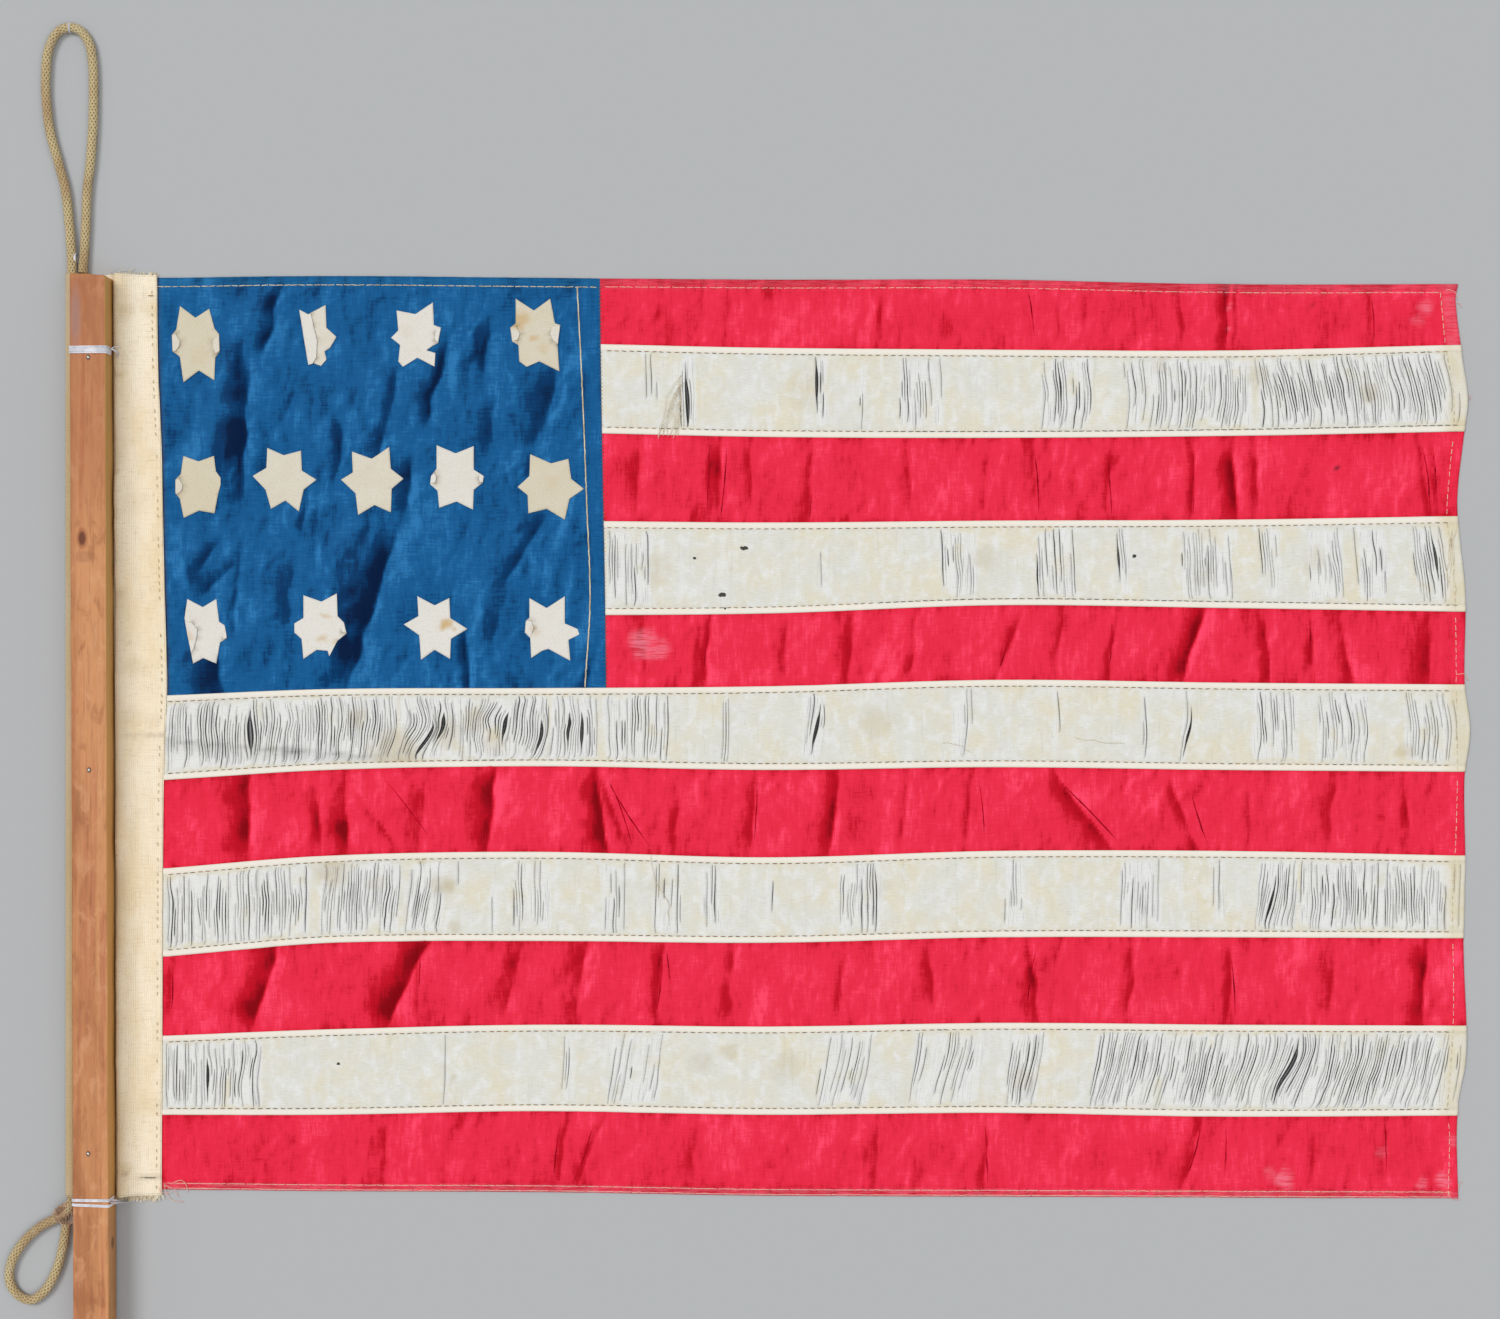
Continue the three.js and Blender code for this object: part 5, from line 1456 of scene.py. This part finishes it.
def makeStitching():
    dice = random.Random(7)
    onWhite = stripes["white"]["level"] + 0.02
    onRed = stripes["red"]["level"] + 0.16
    hem = stripes["hemWidth"]
    flyEnd = 378
    tan, grey, cream, pink = [], [], [], []
    for number in range(1, stripes["last"] + 1, 2):
        start = float(cantonEdge(200)) + 2 if number < stripesBesideCanton else float(headingEdge(0)) + 2
        tan += stitchRow((start, flyEnd), shifted(seams[number], -hem), onWhite, dice)
        lowerRow = shifted(seams[number + 1], hem)
        if number < stripesBesideCanton:
            tan += stitchRow((start, 60), lowerRow, onWhite, dice)
            grey += stitchRow((60, 380), lowerRow, onWhite, dice, run=3.2)
        else:
            tan += stitchRow((start, flyEnd), lowerRow, onWhite, dice)
        low, high = (float(seam(threads["flyRow"])) for seam in (seams[number + 1], seams[number]))
        cream += stitchRow((low, high), flyStitch, onWhite + 0.12, dice, upright=True)
    for number in range(0, stripes["last"] + 1, 2):
        low, high = (float(seam(threads["flyRow"])) for seam in (seams[number + 1], seams[number]))
        pink += stitchRow((low + 0.5, high - 1), flyStitch, onRed + 0.2, dice, upright=True)
    pink += stitchRow((-90, 370), shifted(seams[0], -4.6), onRed, dice, run=3.4)
    cream += stitchRow((-336, -92), shifted(seams[0], -4.9), onRed, dice, run=3.5)
    cantonRow = stitchRow((79, 301), cantonStitch, onRed, dice, pitch=5.0, run=5.2, upright=True)
    pink += stitchRow((-330, flyEnd), shifted(seams[-1], 3.4), onRed, dice, pitch=3.6, run=3.3)
    pink += stitchRow((-330, flyEnd), shifted(seams[-1], 0.7), onRed, dice, pitch=5.0, run=4.9)
    edging = stitchRow((-198, 304), shifted(headingEdge, -2.8), 1.85, dice, upright=True, run=1.8, share=0.6)
    onCanvas = heading["upper"]
    tan += stitchRow((-353, -335), lambda at: 294, onCanvas, dice, share=0.7)
    grey += stitchRow((-346, -334), lambda at: -190.4, onCanvas, dice, pitch=3.4, run=3.2)
    tan += stitchRow((-356, -346), lambda at: -190.8, onCanvas, dice)
    dots = []
    for y in np.arange(80, 300, threads["join"]):
        x = float(cantonEdge(y))
        z = liftAt(x, y) + 0.75
        dots.append([(x - 0.5, y, z - 0.15), (x + 0.3, y + 0.15, z), (x + 1.0, y + 0.3, z - 0.1)])
    tanThread = makeThreadMaterial("tan")
    groups = (
        ("tanStitches", tan, tanThread, 0.26), ("greyStitches", grey, greyThread, 0.27),
        ("creamStitches", cream, creamThread, 0.26), ("pinkStitches", pink, pinkThread, 0.2),
        ("cantonJoin", dots, greyThread, 0.2), ("cantonSeam", cantonRow, creamThread, 0.4),
        ("headingEdging", edging, makeThreadMaterial("canvas-coloured"), 0.17),
    )
    for name, lines, material, radius in groups:
        addPiece(name, threadMesh(name, lines, radius), material)


# sharp pressed creases across the red silk, each drawn as a thin dark red line of painted shade: x and y at
# the top, x and y at the foot, bow
creases = [
    (-89, 30, -62, -12, -1.5), (-88, 30, -74, -11, 1.2), (-212, 30, -183, -8, 1),
    (155, 32, 196, -10, 1.5), (160, 30, 171, 12, -0.8), (-22, 216, -26, 170, 0.4),
    (-32, 214, -33, 172, -0.3), (24, 188, 23, 171, 0.2), (146, 214, 149, 172, 0.8),
    (186, 212, 189, 171, 0.6), (233, 215, 234, 172, 0.3), (359, 215, 364, 174, 1.2),
    (365, 214, 368, 176, 0.6), (251, 300, 252, 266, 0.2), (143, 298, 147, 268, 0.4),
    (331, 296, 333, 268, 1), (-33, 118, -36, 84, 0.5), (134, 116, 125, 84, 1.2),
    (189, 117, 187, 84, 0.8), (298, 118, 297, 92, 0.5), (-6, 32, -8, -10, 0.8),
    (232, 24, 243, -10, -0.8), (115, 32, 119, -8, 1.2), (148, -62, 142, -104, -1),
    (254, -62, 257, -106, 0.6), (-191, -64, -192, -92, 0.3), (-327, -70, -328, -104, 0.5),
    (-58, -64, -62, -104, 1.2), (-95, -158, -108, -196, 1), (-113, -156, -118, -196, -0.8),
    (119, -158, 121, -198, 0.4), (239, -157, 228, -196, 1.5), (252, -162, 251, -192, 0.4),
    (339, -157, 340, -190, 0.3), (-56, -64, -54, -84, 0.4),
]
creaseShadeLine = {"points": 15, "radius": 0.46, "deep": (136, 2, 18), "red": (192, 14, 42)}


def makeCreaseShadeLines():
    dice = random.Random(31)
    lines = []
    for topX, topY, footX, footY, bow in creases:
        line = []
        for i in range(creaseShadeLine["points"]):
            t = i / (creaseShadeLine["points"] - 1)
            x = topX + (footX - topX) * t + bow * math.sin(math.pi * t) + dice.uniform(-0.12, 0.12)
            y = topY + (footY - topY) * t
            sink = 0.5 * abs(2 * t - 1) ** 2.5 + dice.uniform(-0.08, 0.08)
            line.append((x, y, liftAt(x, y) + stripes["red"]["level"] - sink))
        lines.append(line)
    # dark red, as painted shade in the creases
    material, tree, shader = newMaterial("painted red crease shade", 0.7, 0.02)
    uneven = noiseOf(tree, (90, 60, 90), 3)
    colour = overlaid(tree, fromScreen(*creaseShadeLine["deep"]), ((uneven, 0.4, 0.6, 1, creaseShadeLine["red"]),))
    tree.links.new(colour, shader.inputs["Base Color"])
    tree.links.new(bumpOf(tree, uneven, 0.1), shader.inputs["Normal"])
    mesh = threadMesh("creaseShadeLines", lines, creaseShadeLine["radius"])
    addPiece("creaseShadeLines", mesh, material)


def makeLashings():
    dice = random.Random(11)
    half = batten["width"] / 2 + threads["lashing"]
    hoist = -half - batten["hoistBulge"]
    top = batten["depth"] / 2 + threads["lashing"] * 0.9
    foot = -batten["depth"] / 2 + 8.4

    def turnAt(y, drift):
        section = [(hoist, foot), (hoist, top - 1.2), (hoist + 0.35, top - 0.35), (hoist + 1.2, top)]
        section += [(0, top), (half - 1.2, top), (half - 0.35, top - 0.35), (half, top - 1.2), (half, foot)]
        return [(x, y + drift * (x + half) / (2 * half), z) for x, z in section]

    upper = []
    for i in range(5):
        upper.append(turnAt(263 + (i - 2) * 0.82 + dice.uniform(-0.06, 0.06), dice.uniform(-0.2, 0.2)))
    lower = [turnAt(y - i * 0.8, drift) for y, drift in ((-197.9, -0.3), (-200.4, -0.9)) for i in range(2)]
    lashings = (("topLashing", upper, "lashing_top"), ("bottomLashing", lower, "lashing_bottom"))
    for name, lines, node in lashings:
        mesh = threadMesh(name, lines, threads["lashing"], 8)
        writePoints(mesh, *ontoBatten(readPoints(mesh)))
        addPiece(name, mesh, whiteThread, [node])


def looseLine(start, end, bow, dice, lift=0.0):
    # a thread end lying from start to end, bowed to one side
    start, end = Vector(start), Vector(end)
    way = end - start
    side = Vector((-way.y, way.x, 0))
    line = []
    for i in range(6):
        t = i / 5
        wave = bow * math.sin(math.pi * t) + dice.uniform(-0.04, 0.04)
        line.append(tuple(start + way * t + side * wave + Vector((0, 0, lift * math.sin(math.pi * t)))))
    return line


def ring(centre, side, radius, lowest, advance=(0, 0, 0)):
    # one turn of thread round the cord, kept above its lowest, and moved on a little as it goes
    line = []
    for k in range(13):
        angle = 2 * math.pi * k / 12
        up = Vector((0, 0, max(lowest, radius * math.sin(angle))))
        turned = Vector(side) * radius * math.cos(angle)
        line.append(tuple(Vector(centre) + turned + up + Vector(advance) * k))
    return line


def frayCanvas(dice):
    # the heading's cut ends: how many threads, y, the x between, and how far they reach out and aside
    fray = []
    for count, y, edge, xRange, outRange, aside, fall in (
        (170, -199.3, -200.3, (-357, -333.5), (0.8, 3.8), 2.2, 0.3),
        (55, 304.8, 305.7, (-358, -336), (0.3, 1.8), 1.5, 0),
    ):
        way = math.copysign(1, y)
        for _ in range(count):
            x = dice.uniform(*xRange)
            z = dice.choice((0.5, 1.7)) + dice.uniform(-0.1, 0.4)
            out = dice.uniform(*outRange)
            end = (x + dice.uniform(-aside, aside), edge + way * out, max(0.3, z - fall))
            fray.append(looseLine((x, y, z), end, dice.uniform(-0.3, 0.3), dice))
    for x, dx, dy in ((-358, -3.4, 3.2), (-357, 4, 3), (-350, 2.2, 4.4), (-349, -0.6, 3.6)):
        fray.append(looseLine((x, 305, 1.8), (x + dx, 305 + dy, 1.2), 0.35, dice, 0.6))
    material = makeThreadMaterial("frayed canvas")
    addPiece("canvasFray", threadMesh("canvasFray", fray, 0.15), material)


# stray ends at the silk's corners and edges: start, end, bow, lift
strayEnds = [
    ((-332, -195, 1.4), (-324, -201.6, 0.9), 0.25, 0.6),
    ((-331, -193, 1.4), (-321, -204, 0.5), -0.3, 0.6),
    ((-328, -194, 1.4), (-319, -199, 1.2), 0.5, 0.8),
    ((-334, -192, 1.6), (-327, -198, 1.2), -0.5, 0.8),
    ((372, 297, 1.0), (379, 292.5, 0.8), 0.3, 0.6),
    ((377, 290, 0.9), (381.5, 287.5, 0.4), 0.3, 0.4),
    ((384, 240, 0.9), (385.6, 236.5, 0.5), 0.4, 0.4),
    ((380, -197, 0.9), (382.4, -193, 0.5), 0.3, 0.4),
    ((374, -198, 0.9), (381, -202.5, 0.3), -0.3, 0.4),
    ((379, 86, 0.9), (385, 82.5, 0.4), 0.3, 0.4),
]


def scatterThreads(dice):
    loose = [looseLine(start, end, bow, dice, lift) for start, end, bow, lift in strayEnds]
    addPiece("looseThreads", threadMesh("looseThreads", loose, 0.16), pinkThread)
    hanging = looseLine((-64, -13, 1.6), (-57, -34, 1.7), -0.12, dice, 0.5)
    hanging += looseLine((-57, -34, 1.7), (-55, -52, 1.6), 0.1, dice, 0.4)[1:]
    drop = [
        hanging,
        looseLine((96, 48, 1.6), (112, 43, 1.6), 0.1, dice, 0.4),
        looseLine((168, 52, 1.6), (196, 49, 1.6), -0.06, dice, 0.4),
    ]
    for low, high in ((142, 168), (128, 150)):
        for _ in range(7):
            x = dice.uniform(376, 379)
            start = (x, low + dice.uniform(0, 3), 1.0)
            end = (x + dice.uniform(-1, 1), high, 1.0)
            drop.append(looseLine(start, end, dice.uniform(0.05, 0.14), dice, 0.3))
    for i in range(9):
        start = (-47 + dice.uniform(-1.5, 0.5), 250 - 1.5 * i + dice.uniform(-2, 2), 2.0)
        end = (-61 + 1.5 * i + dice.uniform(-1, 1), 217 + dice.uniform(-2, 3), 1.9)
        drop.append(looseLine(start, end, dice.uniform(-0.08, 0.05), dice, 0.5))
    addPiece("silkThreads", threadMesh("silkThreads", drop, 0.13), creamThread)


def tieThreads(dice):
    # white ties round the rope, and the lashings' loose ends
    ties = []
    for x, y in ((-383.4, 441.2), (-380.2, 314.5)):
        ties += [ring((x + i * 0.5, y, 2.7), (0, 1, 0), 2.78, -2.78) for i in range(2)]
    start = battenSide(-200, 1)
    for i in range(4):
        end = (-349.5 + dice.uniform(-4, 1), -204.2 + dice.uniform(-0.6, 0.8), 0.6)
        ties.append(looseLine((start + 0.5, -198.4 - 1.1 * i, 19), end, dice.uniform(-0.06, 0.06), dice, 0.8))
    for dx, dy in ((3, -2.5), (4, 1.5), (2.2, -4)):
        ties.append(looseLine((start + 0.6, 263, 17), (start + dx, 263 + dy, 9), 0.3, dice, 0.6))
    addPiece("threadTies", threadMesh("threadTies", ties, 0.3), whiteThread)


def makeSplice(dice):
    # the small loop's splice: loose fibres, turns round it, and strands along it
    fuzz = []
    for _ in range(75):
        angle = dice.uniform(0, 2 * math.pi)
        along = dice.random()
        x, y = -382.5 - 7 * along + dice.uniform(-1.5, 1.5), -203 - 7 * along + dice.uniform(-1.5, 1.5)
        reach = dice.uniform(1, 2.6)
        end = (x + reach * math.cos(angle), y + reach * math.sin(angle), 5.6)
        fuzz.append(looseLine((x, y, 4.6), end, 0.3, dice, 0.3))
    for i in range(9):
        centre = (-384.6 - i * 0.62, -208.4 - i * 0.52, 3.0)
        fuzz.append(ring(centre, (0.64, -0.77, 0), 2.75, -2.6, (-0.0385, -0.032, 0)))
    for i in range(7):
        lean = -1.6 + 0.55 * i
        start, end = (-385 + lean, -216.5, 3.6), (-383.6 + 0.4 * lean, -203, 5.2)
        fuzz.append(looseLine(start, end, 0.4 * lean, dice, 0.5))
        start, end = (-385 + lean * 0.9, -216, 4.6), (-386 + 0.6 * lean, -205, 5.4)
        fuzz.append(looseLine(start, end, -0.3 * lean, dice, 0.6))
    addPiece("ropeSplice", threadMesh("ropeSplice", fuzz, 0.2), makeThreadMaterial("splice"))


makeStitching()
makeCreaseShadeLines()
makeLashings()
looseDice = random.Random(23)
frayCanvas(looseDice)
scatterThreads(looseDice)
tieThreads(looseDice)
makeSplice(looseDice)
print("threads added")


# Studio: pale floor and soft light

studio = {
    "floor": 6000, "floorColour": (176, 178, 180),
    "key": {"from": (-0.5, 0.36, 1.0), "strength": 1.5, "spread": 24},
    "fill": {"from": (0.42, -0.2, 1.2), "strength": 0.85, "spread": 50},
    "sky": 0.4,
}


def makeStudio():
    bm = bmesh.new()
    bmesh.ops.create_grid(bm, x_segments=1, y_segments=1, size=studio["floor"] / 2)
    mesh = meshOf(bm, "floor")
    mesh.transform(Matrix.Translation((0, 0, -0.02 * mm)) @ Matrix.Scale(mm, 4))
    material, tree, shader = newMaterial("pale floor", 0.9, 0.2)
    shader.inputs["Base Color"].default_value = fromScreen(*studio["floorColour"])
    mesh.materials.append(material)
    floor = bpy.data.objects.new("floor", mesh)
    bpy.context.scene.collection.objects.link(floor)
    for name in ("key", "fill"):
        lamp = bpy.data.lights.new(name, "SUN")
        lamp.energy = studio[name]["strength"]
        lamp.angle = math.radians(studio[name]["spread"])
        holder = bpy.data.objects.new(name, lamp)
        holder.rotation_euler = Vector(studio[name]["from"]).to_track_quat("Z", "Y").to_euler()
        bpy.context.scene.collection.objects.link(holder)
    world = bpy.data.worlds.new("studio")
    world.use_nodes = True
    sky = world.node_tree.nodes["Background"]
    sky.inputs["Color"].default_value = (1, 1, 1, 1)
    sky.inputs["Strength"].default_value = studio["sky"]
    bpy.context.scene.world = world
    bpy.context.scene.view_settings.view_transform = "Standard"


makeStudio()
print("studio lit")
